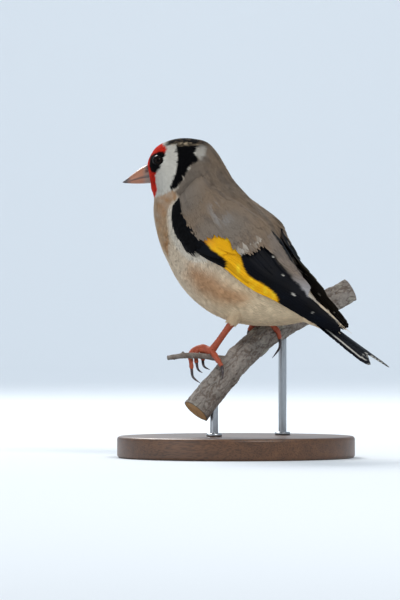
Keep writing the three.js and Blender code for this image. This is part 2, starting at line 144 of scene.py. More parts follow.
def shell_faces(steps, across):
    """Faces of a closed shell whose rings run along the top and back underneath."""
    count, cap = 2 * across, np.arange(across - 1)
    root = np.stack([cap, cap + 1, count - 2 - cap, count - 1 - cap], 1)
    return np.vstack([ring_faces(steps, count), root, root[:, ::-1] + (steps - 1) * count])

# %% [markdown]
# Paints are given as hex values, the way colours are picked on a screen. Blender mixes
# light in linear values, so one function turns the one into the other.

# %% Colour helper
def paint(code):
    srgb = np.array([int(code[i:i + 2], 16) / 255 for i in (1, 3, 5)])
    return np.where(srgb <= 0.04045, srgb / 12.92, ((srgb + 0.055) / 1.055) ** 2.4)

def mix(a, b, share):
    share = np.asarray(share, float)[..., None]
    return a * (1 - share) + b * share

def smooth(edge0, edge1, value):
    t = np.clip((value - edge0) / (edge1 - edge0), 0, 1)
    return t * t * (3 - 2 * t)

# %% [markdown]
# Nature is never even, so many sizes and colours below are nudged by a soft noise. This
# one blends random values on a lattice, which can be worked out for any point in space.

# %% Soft noise
def noise(points, size, seed=0):
    """Smooth noise from -1 to 1, with lumps about size across."""
    place = np.asarray(points, float) / size + 37.7 * seed
    cell = np.floor(place).astype(np.int64)
    part = place - cell
    part = part * part * (3 - 2 * part)
    total = 0
    for corner in range(8):
        step = np.array([corner & 1, corner >> 1 & 1, corner >> 2 & 1])
        key = (cell + step) @ np.array([374761393, 668265263, 2147483647])
        key = (key ^ (key >> 13)) * 1274126177 & 0xFFFFFFFF
        value = ((key ^ (key >> 16)) & 0xFFFF) / 32767.5 - 1
        weight = np.prod(np.where(step == 1, part, 1 - part), axis=-1)
        total = total + value * weight
    return total

def layered_noise(points, size, layers=3, seed=0):
    return sum(noise(points, size / 2 ** k, seed + k) / 2 ** k for k in range(layers)) / 1.75

# %% [markdown]
# The camera looks from a little behind the bird's left side, level with its breast. It is
# far off with a long lens, so that near and far look the same size.

# %% Camera
VIEW_TURN = math.radians(28)
MM_PER_PIXEL = 0.37
FRAME_PIXELS = (400, 600)
ORIGIN_PIXEL = (236, 457.6)
CAMERA_DISTANCE = 1850
SENSOR = 36
SIGHT_RIGHT = np.array([math.cos(VIEW_TURN), math.sin(VIEW_TURN), 0])
SIGHT_AHEAD = np.array([-math.sin(VIEW_TURN), math.cos(VIEW_TURN), 0])

middle = (SIGHT_RIGHT * (FRAME_PIXELS[0] / 2 - ORIGIN_PIXEL[0]) * MM_PER_PIXEL
          + np.array([0, 0, (ORIGIN_PIXEL[1] - FRAME_PIXELS[1] / 2) * MM_PER_PIXEL]))
camera_data = bpy.data.cameras.new("camera")
camera_data.sensor_width = SENSOR
camera_data.lens = SENSOR * CAMERA_DISTANCE / (FRAME_PIXELS[1] * MM_PER_PIXEL)
camera_data.clip_end = 20
camera = bpy.data.objects.new("camera", camera_data)
camera.location = (middle - SIGHT_AHEAD * CAMERA_DISTANCE) * MM
camera.rotation_euler = (math.pi / 2, 0, VIEW_TURN)
bpy.context.scene.collection.objects.link(camera)
bpy.context.scene.camera = camera
print("camera lens", round(camera_data.lens), "mm")

# %% [markdown]
# One small function adds a node with its settings and its links. Every material in this
# lesson is built with it.

# %% Node helper
def add(tree, kind, settings=None, links=None, **traits):
    node = tree.nodes.new(kind)
    for trait, value in traits.items():
        setattr(node, trait, value)
    for socket, value in (settings or {}).items():
        node.inputs[socket].default_value = value
    for socket, source in (links or {}).items():
        tree.links.new(source, node.inputs[socket])
    return node

def new_material(name, **settings):
    """A material with only its shader set, and the tree and shader to build on."""
    material = bpy.data.materials.new(name)
    material.use_nodes = True
    tree = material.node_tree
    shader = tree.nodes["Principled BSDF"]
    for socket, value in settings.items():
        shader.inputs[socket.replace("_", " ")].default_value = value
    return material, tree, shader

def rgba(code):
    return (*paint(code), 1)

# %% [markdown]
# A natural finish is its own colour, uneven in light and dark, over a surface that is
# uneven in the same places. Three helpers give any material that: a grain with a size in
# millimetres, the colours of the points shaded by it, and the same grain raised as relief.

# %% Grain, shading and relief
def grain_of(tree, size_mm, detail, **settings):
    place = add(tree, "ShaderNodeTexCoord")
    node = add(tree, "ShaderNodeTexNoise",
               {"Scale": 1 / (size_mm * MM), "Detail": detail, **settings},
               {"Vector": place.outputs["Object"]})
    return node.outputs["Fac"]

def shade_markings(tree, shader, texture, spread):
    """Gives the shader the piece's own colours, made lighter and darker by a texture."""
    own = add(tree, "ShaderNodeAttribute", attribute_name="Markings")
    bright = add(tree, "ShaderNodeMapRange", spread, {"Value": texture})
    tone = add(tree, "ShaderNodeVectorMath", links={0: own.outputs["Color"],
               "Scale": bright.outputs["Result"]}, operation="SCALE")
    tree.links.new(tone.outputs["Vector"], shader.inputs["Base Color"])
    return bright.outputs["Result"]

def raise_texture(tree, shader, height, strength, depth_mm):
    bump = add(tree, "ShaderNodeBump", {"Strength": strength, "Distance": depth_mm * MM},
               {"Height": height})
    tree.links.new(bump.outputs["Normal"], shader.inputs["Normal"])

# %% [markdown]
# The studio is a pale floor that curves up into a pale wall, so no line crosses behind
# the bird. Large soft lamps keep the shadows gentle: a key high on the right, a weak fill
# on the left, a strong rim from behind that lights the edge of the back, and one lamp
# that only lifts the wall.

# %% Floor, backdrop and lamps
def build_studio():
    floor_material, tree, shader = new_material("pale_studio_paper", Roughness=0.9)
    spot = add(tree, "ShaderNodeTexNoise", {"Scale": 3.0, "Detail": 2.0})
    ramp = add(tree, "ShaderNodeMix", {6: rgba("#dfe5ea"), 7: rgba("#e6ebef")},
               {0: spot.outputs["Fac"]}, data_type="RGBA")
    tree.links.new(ramp.outputs[2], shader.inputs["Base Color"])
    half_wide, near, far, bend, high = 4000, -3600, 2100, 1100, 4200
    arc = [(far + bend * math.sin(a), bend * (1 - math.cos(a)))
           for a in np.linspace(0, math.pi / 2, 24)]
    line = [(near, 0), (0, 0), *arc, (far + bend, high)]
    points = np.array([SIGHT_RIGHT * across + SIGHT_AHEAD * ahead + np.array([0, 0, up])
                       for ahead, up in line for across in (-half_wide, half_wide)])
    faces = np.array([[2 * i, 2 * i + 1, 2 * i + 3, 2 * i + 2] for i in range(len(line) - 1)])
    mesh = bpy.data.meshes.new("studio_sweep")
    mesh.from_pydata((points * MM).tolist(), [], faces.tolist())
    mesh.shade_smooth()
    mesh.materials.append(floor_material)
    sweep = bpy.data.objects.new("studio_sweep", mesh)
    bpy.context.scene.collection.objects.link(sweep)

def add_lamp(name, right, ahead, up, size, watts, colour, towards=(0, 0, 0.075)):
    data = bpy.data.lights.new(name, "AREA")
    data.shape, data.size, data.energy, data.color = "DISK", size, watts, colour
    lamp = bpy.data.objects.new(name, data)
    place = SIGHT_RIGHT * right + SIGHT_AHEAD * ahead + np.array([0, 0, up])
    lamp.location = place
    target = SIGHT_RIGHT * towards[0] + SIGHT_AHEAD * towards[1] - place
    target = target + np.array([0, 0, towards[2]])
    lamp.rotation_euler = (math.atan2(math.hypot(*target[:2]), -target[2]), 0,
                           math.atan2(target[1], target[0]) - math.pi / 2)
    lamp.visible_camera = False
    bpy.context.scene.collection.objects.link(lamp)

build_studio()
add_lamp("key", 0.45, -0.8, 0.95, 0.5, 7.4, (1, 0.97, 0.93))
add_lamp("fill", -0.95, -0.6, 0.35, 0.8, 2.4, (0.95, 0.97, 1))
add_lamp("rim", -0.35, 0.8, 0.85, 0.45, 10, (1, 0.99, 0.97))
add_lamp("wall", 0, 1.5, 1.9, 1.6, 20, (0.94, 0.97, 1), (0, 3.4, 0.2))
world = bpy.data.worlds.new("studio_air")
world.use_nodes = True
air = world.node_tree.nodes["Background"]
air.inputs["Color"].default_value = rgba("#dbe6f2")
air.inputs["Strength"].default_value = 0.58
bpy.context.scene.world = world
bpy.context.scene.view_settings.view_transform = "Standard"
bpy.context.scene.view_settings.look = "None"
print("lamps:", [item.name for item in bpy.data.lights])

# %% [markdown]
# The bird's outer form is a row of rings from the face to the vent, the same rings the
# solids were drawn from. Each row holds x and z of the centre, the tilt of the line from
# belly to back, half height, half width, and how far the ring shares the head's turn.

# %% Rings of the body
BODY = np.array([
    [-34.05, 105.05, 101.3, 3.3, 3.0, 1], [-33.4, 105.7, 92.0, 5.9, 4.8, 1],
    [-31.95, 106.4, 86.3, 8.5, 6.6, 1], [-29.9, 106.35, 78.3, 10.9, 7.9, 1],
    [-27.4, 105.7, 68.7, 13.5, 9.0, 1], [-24.8, 104.3, 61.5, 15.7, 9.7, 1],
    [-22.2, 102.15, 56.4, 17.6, 10.3, 0.9], [-20.05, 98.65, 52.1, 18.3, 11.0, 0.75],
    [-18.2, 94.55, 49.0, 18.6, 12.2, 0.55], [-15.75, 89.6, 45.7, 18.85, 13.6, 0.35],
    [-12.3, 85.05, 42.0, 19.5, 15.0, 0.18], [-7.85, 79.65, 38.9, 20.5, 16.2, 0.05],
    [-2.75, 74.0, 36.2, 21.0, 17.0, 0], [1.5, 68.5, 38.1, 19.4, 17.2, 0],
    [6.7, 63.75, 40.3, 17.56, 16.4, 0], [12.6, 59.9, 42.8, 14.86, 14.8, 0],
    [19.05, 56.65, 43.5, 11.25, 12.2, 0], [25.75, 54.2, 43.6, 7.25, 9.4, 0],
    [32.05, 53.1, 39.5, 4.1, 6.8, 0], [35.85, 51.85, 48.7, 2.2, 5.0, 0],
])
BODY_END = len(BODY) - 1
HEAD_TURN = math.radians(28)
TURN_X = -15.1
print("rings of the body:", len(BODY))

def rows_at(table, index):
    """Smooth values between the rows of a table, for an array of row places."""
    index = np.asarray(index, float)
    last = len(table) - 1
    k = np.clip(np.floor(index).astype(int), 0, last - 1)
    t = (index - k)[..., None]
    a, b, c, d = (table[np.clip(k + step, 0, last)] for step in (-1, 0, 1, 2))
    return 0.5 * (2 * b + (c - a) * t + (2 * a - 5 * b + 4 * c - d) * t ** 2
                  + (3 * b - a - 3 * c + d) * t ** 3)

def turned(x, y, z, share=1.0):
    """Turns points of the head or neck to the bird's left about an upright axis."""
    cos, sin = np.cos(HEAD_TURN * share), np.sin(HEAD_TURN * share)
    ahead = x - TURN_X
    return np.stack(np.broadcast_arrays(
        TURN_X + ahead * cos - y * sin, ahead * sin + y * cos, z), axis=-1)

def ring_point(table, index, angle, side, out):
    """A point on a form: angle 0 is the side and 90 the back, and side is -1 or 1."""
    x, z, tilt, high, wide, share = np.moveaxis(rows_at(table, index)[..., :6], -1, 0)
    angle, tilt = np.radians(angle), np.radians(tilt)
    up = (high + out) * np.sin(angle)
    return turned(x + np.cos(tilt) * up, side * (wide + out) * np.cos(angle),
                  z + np.sin(tilt) * up, share)

def body_point(index, angle, out=0.0):
    """A point of the body, with the angle right round from the bird's right side."""
    return ring_point(BODY, index, angle, 1, out)

# %% [markdown]
# The folded wing has rings of its own. It follows the body and then runs on over the
# tail. Two more columns give the angle of its lower and upper edge on each ring.

# %% Rings of the wing
WING_ON_BODY = np.column_stack([BODY[8:15, :5], np.zeros(7)])
WING_PAST_BODY = np.array([
    [12.6, 59.9, 42.8, 14.9, 14.8, 0], [21.0, 57.3, 44.0, 11.0, 12.8, 0],
    [28.5, 54.3, 45.0, 8.0, 10.2, 0], [36.0, 50.9, 47.0, 5.4, 7.6, 0],
    [43.0, 47.7, 50.0, 3.2, 5.2, 0], [48.0, 45.4, 52.0, 1.5, 3.2, 0],
])
WING_LOW = [-6, -13, -13, -10, -3, 8, 11, 12, 10, 5, -3, -12, -20]
WING_HIGH = [30, 38, 48, 58, 66, 71, 74, 76, 76, 72, 66, 60, 55]
WING = np.column_stack([np.vstack([WING_ON_BODY, WING_PAST_BODY]), WING_LOW, WING_HIGH])
WING_OUT = 1.6

def wing_point(index, above, side, lift=0.0):
    """A point of the folded wing: ring place, distance up from the lower edge, and lift."""
    row = rows_at(WING, index)
    radius = (row[..., 3] + row[..., 4]) / 2 + WING_OUT
    angle = row[..., 6] + np.degrees(above / radius)
    return ring_point(WING, index, angle, side, WING_OUT + lift)

print("wing from wrist to tip:", round(float(np.linalg.norm(
    wing_point(0.4, 2.0, -1) - wing_point(11.4, 1.5, -1))), 1), "mm")

# %% [markdown]
# The markings are drawn once, as outlines on the bird's profile, and both flanks take
# their colour from them. A point is first brought to the left side, then laid on the
# profile: s runs along the picture to the right, and z is height, both in millimetres.

# %% Profile and outlines of the markings
def profile(points_on_left):
    return np.stack([points_on_left @ SIGHT_RIGHT, points_on_left[..., 2]], axis=-1)

RED_MASK = [(-35.1, 107.9), (-33.7, 113.1), (-30.6, 117.2), (-27.6, 116.6), (-25.5, 114.6),
            (-25.9, 112.9), (-27.2, 109.9), (-28.3, 107.5), (-29.3, 105.3), (-29.6, 101.8),
            (-29.2, 99.4), (-29.8, 96.4), (-32.2, 97.6), (-34.5, 101.0), (-36.0, 105.7)]
BLACK_LORE = [(-31.7, 111.6), (-30.6, 112.4), (-29.4, 113.0), (-28.3, 113.3), (-26.4, 113.3),
              (-25.8, 111.9), (-26.6, 110.1), (-27.6, 108.0), (-28.6, 106.1), (-29.7, 105.2),
              (-31.2, 105.8), (-32.0, 108.0), (-32.1, 110.0)]
BLACK_BAND = [(-21.5, 121.1), (-22.1, 115.3), (-21.9, 112.7), (-21.4, 109.9), (-22.1, 106.1),
              (-23.1, 103.0), (-24.2, 99.9), (-23.9, 99.0), (-22.1, 99.5), (-20.2, 101.8),
              (-18.8, 104.7), (-16.5, 108.0), (-13.6, 110.1), (-15.2, 112.4), (-13.6, 115.7),
              (-11.1, 117.6), (-11.5, 121.1)]
BROWN_BACK = [(-11.5, 121), (-5, 112), (0, 105), (8, 95.5), (16, 86), (25, 75.5), (34, 63),
              (27, 56), (9.5, 79.0), (5.6, 76.6), (1.0, 75.5), (-1.5, 80.5), (-4.0, 82.6),
              (-8.0, 82.5), (-12.9, 81.3), (-16.6, 84.0), (-19.6, 89.5), (-20.9, 95.6),
              (-23.4, 98.2), (-21.8, 99.6), (-18.8, 104.6), (-16.0, 109), (-14.8, 113)]
WING_LEAD = [(-21.3, 95.6), (-24.1, 91.5), (-23.3, 86.5), (-22.6, 82.0), (-20.4, 77.9),
             (-16.6, 74.4), (-11.4, 71.8), (-7.2, 69.5), (-4.2, 69.2), (-3.6, 72.6),
             (-7.6, 75.2), (-11.0, 77.9), (-13.6, 82.0), (-16.6, 83.4), (-18.9, 86.5),
             (-20.4, 91.5)]
YELLOW_BAND = [(-12.9, 81.3), (-8.0, 82.9), (-3.0, 82.9), (-0.8, 80.1), (2.2, 77.1),
               (1.5, 74.5), (2.5, 70.7), (4.7, 66.9), (11.7, 63.0), (15.3, 59.0),
               (14.9, 56.7), (6.0, 60.3), (-1.6, 65.0), (-6.8, 69.2), (-3.8, 70.2),
               (-3.4, 72.6), (-9.1, 76.7)]
BREAST_PATCH = [(-31.5, 96.4), (-27.5, 96.6), (-22.5, 98.4), (-21.6, 96.2), (-24.2, 93.5),
                (-25.6, 90.2), (-25.3, 84.7), (-24.6, 79.3), (-25.1, 74.8), (-27.5, 77.5),
                (-29.3, 82.7), (-31.5, 88.8)]
FLANK_PATCH = [(-16.5, 70.5), (-11.0, 68.0), (-3.0, 63.0), (4.5, 59.4), (1.5, 56.6),
               (-6.0, 57.2), (-13.5, 61.5), (-18.0, 67.0)]
PALE_FLECKS = [(-24.4, 116.4), (-16.9, 117.3), (-12.0, 116.6), (-14.1, 115.7),
               (-21.2, 115.3), (-23.5, 115.5)]
TERTIAL_STRIP = [(10.2, 79.3), (14.8, 73.6), (19.1, 68.3), (25.9, 60.1), (30.0, 57.5),
                 (30.5, 60.5), (22.9, 68.6), (18.0, 75.3), (13.6, 82.5), (11.0, 83.0)]
COVERT_FRINGE = [(1.6, 76.4), (4.0, 77.0), (7.0, 78.6), (9.4, 80.6), (10.0, 79.2),
                 (6.8, 76.9), (4.0, 75.7), (1.6, 73.8)]
# White marks at feather tips: s, z and half length.
WING_SPOTS = [(13.6, 74.1, 0.7), (17.0, 67.6, 0.8), (20.8, 60.4, 1.3), (28.0, 53.6, 0.6)]
# The dark seam along the back, where the two folded wings meet.
WING_MEETING = [(12.6, 84.6), (18.2, 76.4), (23.1, 69.5), (27.6, 63.6), (33, 60), (40, 60),
                (30, 80), (18, 92)]
PALE_RUMP = [(24.5, 66.5), (31, 62.5), (36, 55), (30, 53), (25, 60)]
# Places on the profile: a pale sheen, the nape's pale spot, and the bend of the wing.
SHEEN_SPOT, NAPE_SPOT, WRIST_SPOT = (-7, 91), (-13.4, 113.0), (-12.5, 80.8)
# The eye's place on the profile, and how far round it no feather may grow.
EYE_S, EYE_Z, EYE_CLEAR = -28.73, 109.9, 1.55
print("outlines on the head:", len(RED_MASK) + len(BLACK_LORE) + len(BLACK_BAND), "corners")

# %% [markdown]
# Whether a spot is inside an outline, and how deep, is found from the nearest side and
# from how often a level line crosses the sides. The depth lets an edge be soft or ragged.

# %% Depth inside an outline
def away(spots, place):
    return np.hypot(*(spots - np.array(place)).T)

def inside(outline, spots):
    """Distance in from an outline, in millimetres: above zero inside and below outside."""
    ends = np.array(outline, float)
    starts = np.roll(ends, 1, axis=0)
    nearest = np.full(len(spots), np.inf)
    crossings = np.zeros(len(spots), int)
    for a, b in zip(starts, ends):
        span = b - a
        t = np.clip((spots - a) @ span / (span @ span), 0, 1)
        nearest = np.minimum(nearest, np.linalg.norm(spots - a - t[:, None] * span, axis=1))
        level = (a[1] > spots[:, 1]) != (b[1] > spots[:, 1])
        rise = span[1] if span[1] else 1e-9
        crossings += level & (spots[:, 0] < a[0] + span[0] * (spots[:, 1] - a[1]) / rise)
    return np.where(crossings % 2 == 1, nearest, -nearest)

# %% [markdown]
# The paints of the plumage. The bird's own colours are a crimson face, white cheeks, a
# black crown with bands down the neck, warm brown above, tawny flanks, an off-white
# belly, and black wings with a golden band.

# %% Plumage paints
CRIMSON, DARK_RED = paint("#cb2a1a"), paint("#6a1117")
COAL, BLUE_BLACK = paint("#040406"), paint("#050912")
CHEEK_WHITE, OFF_WHITE = paint("#ccc8be"), paint("#d2bfa6")
WARM_BROWN, GREY_BROWN = paint("#7d6b59"), paint("#6f6a64")
DUSKY_BROWN = paint("#57504b")
TAWNY, CINNAMON = paint("#9a7b59"), paint("#b88252")
GOLD, ORANGE_GOLD, LEMON = paint("#e3a512"), paint("#b06c2a"), paint("#e8c22a")
BUFF_WHITE = paint("#dcc5a3")
SHEEN_GREY, FLECK_BUFF, LEAD_CREAM = paint("#96989a"), paint("#d6c1a2"), paint("#ddd5c6")
STRIP_GREY = paint("#a9a8ab")

def over(base, colour, outline, spots, soft, shift=0.0):
    """Lays a colour over a base inside an outline, with a soft and slightly ragged edge."""
    depth = inside(outline, spots) + shift
    return mix(base, colour, smooth(-soft, soft, depth))

# %% [markdown]
# The back is a warm grey-brown, darker in thin streaks that run with the feathers, painted
# shade where they part, and with a pale painted sheen high on the shoulder where light
# catches the combed edges.

# %% Colour of the back
def back_colours(left):
    """The warm grey-brown of the back, shoulders and neck, with painted shade streaks and a painted
    sheen.
    """
    brown = mix(WARM_BROWN[None], GREY_BROWN[None], 0.7 * smooth(-0.9, 0.9, noise(left, 9, 5)))
    spots = profile(left)
    combed = np.stack([spots @ [0.62, -0.78] / 4, spots @ [0.78, 0.62], left[:, 1] / 2], 1)
    # Thin dark streaks along the feathers are painted shade in the lines between them; the pale grey
    # sheen below is painted light.
    feather_gap_shade = noise(combed, 1.1, 6)
    brown = mix(brown, DUSKY_BROWN[None], 0.45 * smooth(0.05, 0.7, feather_gap_shade))
    sheen = smooth(7, 2, away(spots, SHEEN_SPOT)) * smooth(0, 0.6, -feather_gap_shade)
    return mix(brown, SHEEN_GREY[None], 0.35 * sheen)

# %% [markdown]
# The body is painted in layers, as on a model by hand: pale belly first, then flanks, back
# and breast, and last the crisp marks of the head, each with a slightly ragged edge.

# %% Colour of the body
def body_colours(index, angle):
    """Colour of the body plumage at a ring place and an angle round the body."""
    lift = np.degrees(np.arcsin(np.sin(np.radians(angle))))
    left = ring_point(BODY, index, lift, -1, 0.0)
    spots = profile(left)
    ragged = 0.3 * noise(left, 0.9, 3) + 0.5 * noise(left, 2.6, 4)
    front = smooth(-70, -86, lift)
    colour = np.tile(OFF_WHITE, (len(index), 1))
    colour = mix(colour, BUFF_WHITE, smooth(12, 15, index))
    flank = smooth(-3.4, 2.6, inside(FLANK_PATCH, spots) + ragged)
    colour = mix(colour, mix(CINNAMON[None], GREY_BROWN[None], 0.15), flank * 0.8)
    brown = back_colours(left)
    depth = inside(BROWN_BACK, spots) + ragged
    colour = mix(colour, brown, smooth(-0.8, 0.8, depth) * (index > 4.0))
    colour = over(colour, mix(BUFF_WHITE, CHEEK_WHITE, 0.7), PALE_RUMP, spots, 1.6, 2 * ragged)
    cheek = smooth(7.4, 6.4, index) * (1 - smooth(-0.6, 0.6, depth))
    smudge = smooth(0.1, 0.9, layered_noise(left, 1.6, 2, 15))[:, None]
    colour = mix(colour, CHEEK_WHITE * (1 - 0.28 * smudge), cheek)
    lead = smooth(-2.6, -0.8, inside(WING_LEAD, spots)) * (spots[:, 1] > 72)
    colour = mix(colour, LEAD_CREAM[None], 0.7 * lead * (1 - smooth(-0.8, 0.8, depth)))
    tawny = mix(TAWNY[None], CINNAMON[None], 0.25 + 0.25 * noise(left, 3, 8))
    patch = smooth(-0.7, 0.7, inside(BREAST_PATCH, spots) + ragged)
    patch = patch * (0.8 + 0.2 * noise(left, 1.8, 16))
    colour = mix(colour, tawny, patch * (1 - 0.8 * front))
    colour = over(colour, COAL, BLACK_BAND, spots, 0.22, 0.5 * ragged)
    crown = smooth(52, 60, lift) * smooth(2.6, 3.4, index) * smooth(6.6, 5.6, index)
    flecks = smooth(0.1, 0.5, noise(left, 1.0, 9))
    crown_tone = mix(COAL[None], WARM_BROWN[None], 0.35 * flecks)
    colour = mix(colour, crown_tone, crown)
    speck = smooth(-0.2, 0.5, noise(left, 0.8, 14))
    pale_line = smooth(-0.4, 0.4, inside(PALE_FLECKS, spots)) * (0.1 + 0.6 * speck)
    pale_line = pale_line * smooth(66, 58, lift)
    colour = mix(colour, FLECK_BUFF[None], pale_line)
    nape = away(spots, NAPE_SPOT) + 0.9 * noise(left, 1.4, 17)
    pale_nape = smooth(3.8, 1.0, nape) * smooth(0.4, -0.2, inside(BLACK_BAND, spots))
    colour = mix(colour, mix(CHEEK_WHITE[None], GREY_BROWN[None], 0.25), 0.8 * pale_nape)
    red = mix(CRIMSON[None], DARK_RED[None], 0.6 * smooth(0.0, 0.9, noise(left, 1.3, 10)))
    colour = mix(colour, red, smooth(-0.3, 0.3, inside(RED_MASK, spots) + 0.5 * ragged))
    colour = over(colour, COAL, BLACK_LORE, spots, 0.28, 0.3 * ragged)
    return colour * (1 + 0.05 * noise(left, 1.1, 12) + 0.04 * noise(left, 6, 13))[:, None]

# %% [markdown]
# A feather is a thin vane that tapers, crowned along its shaft, with barbs that part at
# the edge. Each one here is a small closed body: at every step along it there is a left
# edge, a top and a right edge, with a flat underside between the edges. Ragged edges come
# from uneven widths.

# %% Build many vanes at once
def cross_section(centres, ups):
    along = np.gradient(centres, axis=1)
    along /= np.linalg.norm(along, axis=2, keepdims=True) + 1e-9
    across = np.cross(along, ups)
    across /= np.linalg.norm(across, axis=2, keepdims=True) + 1e-9
    return along, across, np.cross(across, along)

def vane_mesh(centres, ups, widths, crown=0.06, thick=0.05, fray=0.0):
    """Closed vanes from middle lines: arrays of feathers by steps by xyz.

    Barbs are so fine that a coat shades like one soft surface, so the normals that come
    back lean only a little from the surface below.
    """
    count, steps, _ = centres.shape
    along, across, up = cross_section(centres, ups)
    length = np.linalg.norm(centres[:, -1] - centres[:, 0], axis=1)[:, None, None]
    edges = []
    for sign in (-1, 1):
        ragged = 1 + fray * rng.uniform(-1, 1, (count, steps, 1))
        slide = fray * 0.09 * length * rng.uniform(-0.3, 1, (count, steps, 1))
        edges.append(centres + across * sign * widths[..., None] / 2 * ragged
                     + along * slide - up * crown * widths[..., None])
    rings = np.stack([edges[0], centres + up * thick, edges[1]], axis=2)
    soft = unit(0.6 * ups + 0.4 * up)
    normals = np.stack([unit(soft - 0.2 * across), soft, unit(soft + 0.2 * across)], 2)
    base = np.arange(count)[:, None, None] * steps * 3
    step = np.arange(steps - 1)[None, :, None] * 3
    corner = np.arange(3)[None, None, :]
    after = (corner + 1) % 3
    sides = np.stack([base + step + corner, base + step + 3 + corner,
                      base + step + 3 + after, base + step + after], axis=-1).reshape(-1, 4)
    ends = np.arange(count)[:, None] * steps * 3
    caps = np.vstack([ends + [0, 1, 2], ends + (steps - 1) * 3 + [2, 1, 0]])
    return rings.reshape(-1, 3), [sides, caps], normals.reshape(-1, 3)

# %% [markdown]
# The tip of a soft feather isn't one smooth edge. Its barbs cling together in bundles that
# part a little, so each feather is laid as three narrow pointed vanes side by side, the
# outer two shorter.

# %% Split and colour the vanes
BUNDLES = 3

def split_vanes(surface, a, b, length, width, stand, turn):
    """Splits each small feather on a surface into three pointed bundles of barbs."""
    mm_per_b = np.linalg.norm(surface(a, b + 1) - surface(a, b - 1), axis=1) / 2
    lane = np.tile(np.linspace(-1, 1, BUNDLES), len(a))
    a, b, length, width, stand, turn, mm_per_b = (
        np.repeat(values, BUNDLES) for values in (a, b, length, width, stand, turn, mm_per_b))
    chance = rng.uniform(-1, 1, len(lane))
    return (a, b + lane * width * 0.29 / mm_per_b,
            length * (0.94 - 0.10 * np.abs(lane) + 0.10 * chance), width * 0.46,
            stand + 0.03 * chance, turn + 0.07 * lane + 0.04 * chance)

def dress_vanes(tone, widths, root, shade):
    """Colours and unwrap places of vanes: one tone each, darker at the root as painted shade of the
    feathers over it and slightly lighter at the tip as painted light, and a patch at the root's place.
    """
    count, steps = widths.shape
    # The share at each step is painted shade at the root, under the overlapping feathers, and painted
    # light at the tip.
    colours = tone[:, None, None, :] * np.asarray(shade)[None, :, None, None]
    colours = np.broadcast_to(colours, (count, steps, 3, 3)).reshape(-1, 3)
    along = np.stack([np.zeros(steps), np.linspace(0, 0.003, steps)], 1)[None, :, None, :]
    fan = np.array([[-0.0015, 0], [0, 0], [0.0015, 0]])[None, None]
    return colours, (root[:, None, None, :] + along + fan).reshape(-1, 2)

# %% [markdown]
# Feather colour comes from the markings map, and the material adds what the eye sees
# close up: fine barbs as bump, a soft sheen, and little gloss. Barbs on a real contour
# feather are about 0.1 mm apart, too fine for this picture, so they are drawn at 0.25 mm.

# %% Keratin of the feathers
BARB_MM = 0.25

def feather_material(name, roughness, sheen, barb_strength):
    material, tree, shader = new_material(
        name, Roughness=roughness, IOR=1.55, Sheen_Weight=sheen, Sheen_Roughness=0.45)
    shader.inputs["Specular IOR Level"].default_value = 0.06
    barbs = grain_of(tree, BARB_MM, 2.0, Roughness=0.6)
    shade_markings(tree, shader, barbs, {"To Min": 0.82, "To Max": 1.14})
    raise_texture(tree, shader, barbs, barb_strength, 0.06)
    return material

soft_feather = feather_material("feather_keratin_soft", 0.85, 0.06, 0.35)
flight_feather = feather_material("feather_keratin_flight", 0.52, 0.0, 0.3)
print("feather materials:", soft_feather.name, "and", flight_feather.name)

# %% [markdown]
# Under the feathers lies one skin, from the bill to the vent, with no seam. It follows
# the rings a coat's depth inside the solids, and wears the same markings, darkened as
# painted shade under the feathers, so any small gap between feathers shows the right colour.

# %% Skin
COAT_DEPTH = 0.7
# Share of the coat's colours that the skin keeps: painted shade under the feathers.
SKIN_PAINTED_SHADE = 0.6

def build_skin():
    steps, sides = 190, 120
    index, angle = (grid.ravel() for grid in np.meshgrid(
        np.linspace(0, BODY_END, steps), np.arange(sides) * 360 / sides, indexing="ij"))
    points = body_point(index, angle, -COAT_DEPTH)
    points = np.vstack([points, points[:sides].mean(0), points[-sides:].mean(0)])
    colours = body_colours(index, angle) * SKIN_PAINTED_SHADE
    colours = np.vstack([colours, colours[:1], colours[-1:]])
    unwrap = np.stack([angle / 360, index / BODY_END], 1)
    unwrap = np.vstack([unwrap, [[0.5, 0], [0.5, 1]]])
    make_piece("skin", points, [ring_faces(steps, sides), end_fans(steps, sides)],
               soft_feather, ("head", "neck", "torso"), colours, unwrap)

build_skin()

# %% [markdown]
# Contour feathers grow all over the skin, closer and smaller on the face. Roots are
# thrown at random, and one that falls too near another is dropped, which leaves an even
# but natural spread. Each feather then follows the surface towards the tail.

# %% Spread roots evenly
def spread_roots(surface, low, high, spacing, tries):
    """Places (a, b) on a surface so that no two are nearer than spacing(a, b)."""
    a = rng.uniform(low[0], high[0], tries)
    b = rng.uniform(low[1], high[1], tries)
    points = surface(a, b)
    reach = spacing(a, b)
    largest = reach.max()
    cells = {}
    kept = []
    keys = np.floor(points / largest).astype(int)
    for i in range(tries):
        x, y, z = keys[i]
        near = [j for dx in (-1, 0, 1) for dy in (-1, 0, 1) for dz in (-1, 0, 1)
                for j in cells.get((x + dx, y + dy, z + dz), ())]
        if near:
            gaps = points[near] - points[i]
            if (np.einsum("ij,ij->i", gaps, gaps) < reach[i] ** 2).any():
                continue
        cells.setdefault((x, y, z), []).append(i)
        kept.append(i)
    kept = np.array(kept)
    return a[kept], b[kept]

# %% [markdown]
# A feather leaves the skin at its root, lies back along the body and stands off it a
# little at the tip. Its middle line is stepped out over the surface, and at each step the
# surface says which way is outward.

# %% Lay feathers along a surface
def unit(vectors):
    return vectors / (np.linalg.norm(vectors, axis=-1, keepdims=True) + 1e-12)

def outward(surface, a, b):
    """Unit normals of a surface that takes a place and a lift."""
    e = 0.02
    da = surface(a + e, b, 0.0) - surface(a - e, b, 0.0)
    db = surface(a, b + 20 * e, 0.0) - surface(a, b - 20 * e, 0.0)
    normal = unit(np.cross(da, db))
    out = surface(a, b, 1.0) - surface(a, b, 0.0)
    return normal * np.sign(np.sum(normal * out, -1, keepdims=True))

# Share of the full width at each step from root to tip.
SOFT_SHAPE = np.array([0.75, 1.0, 0.8, 0.12])

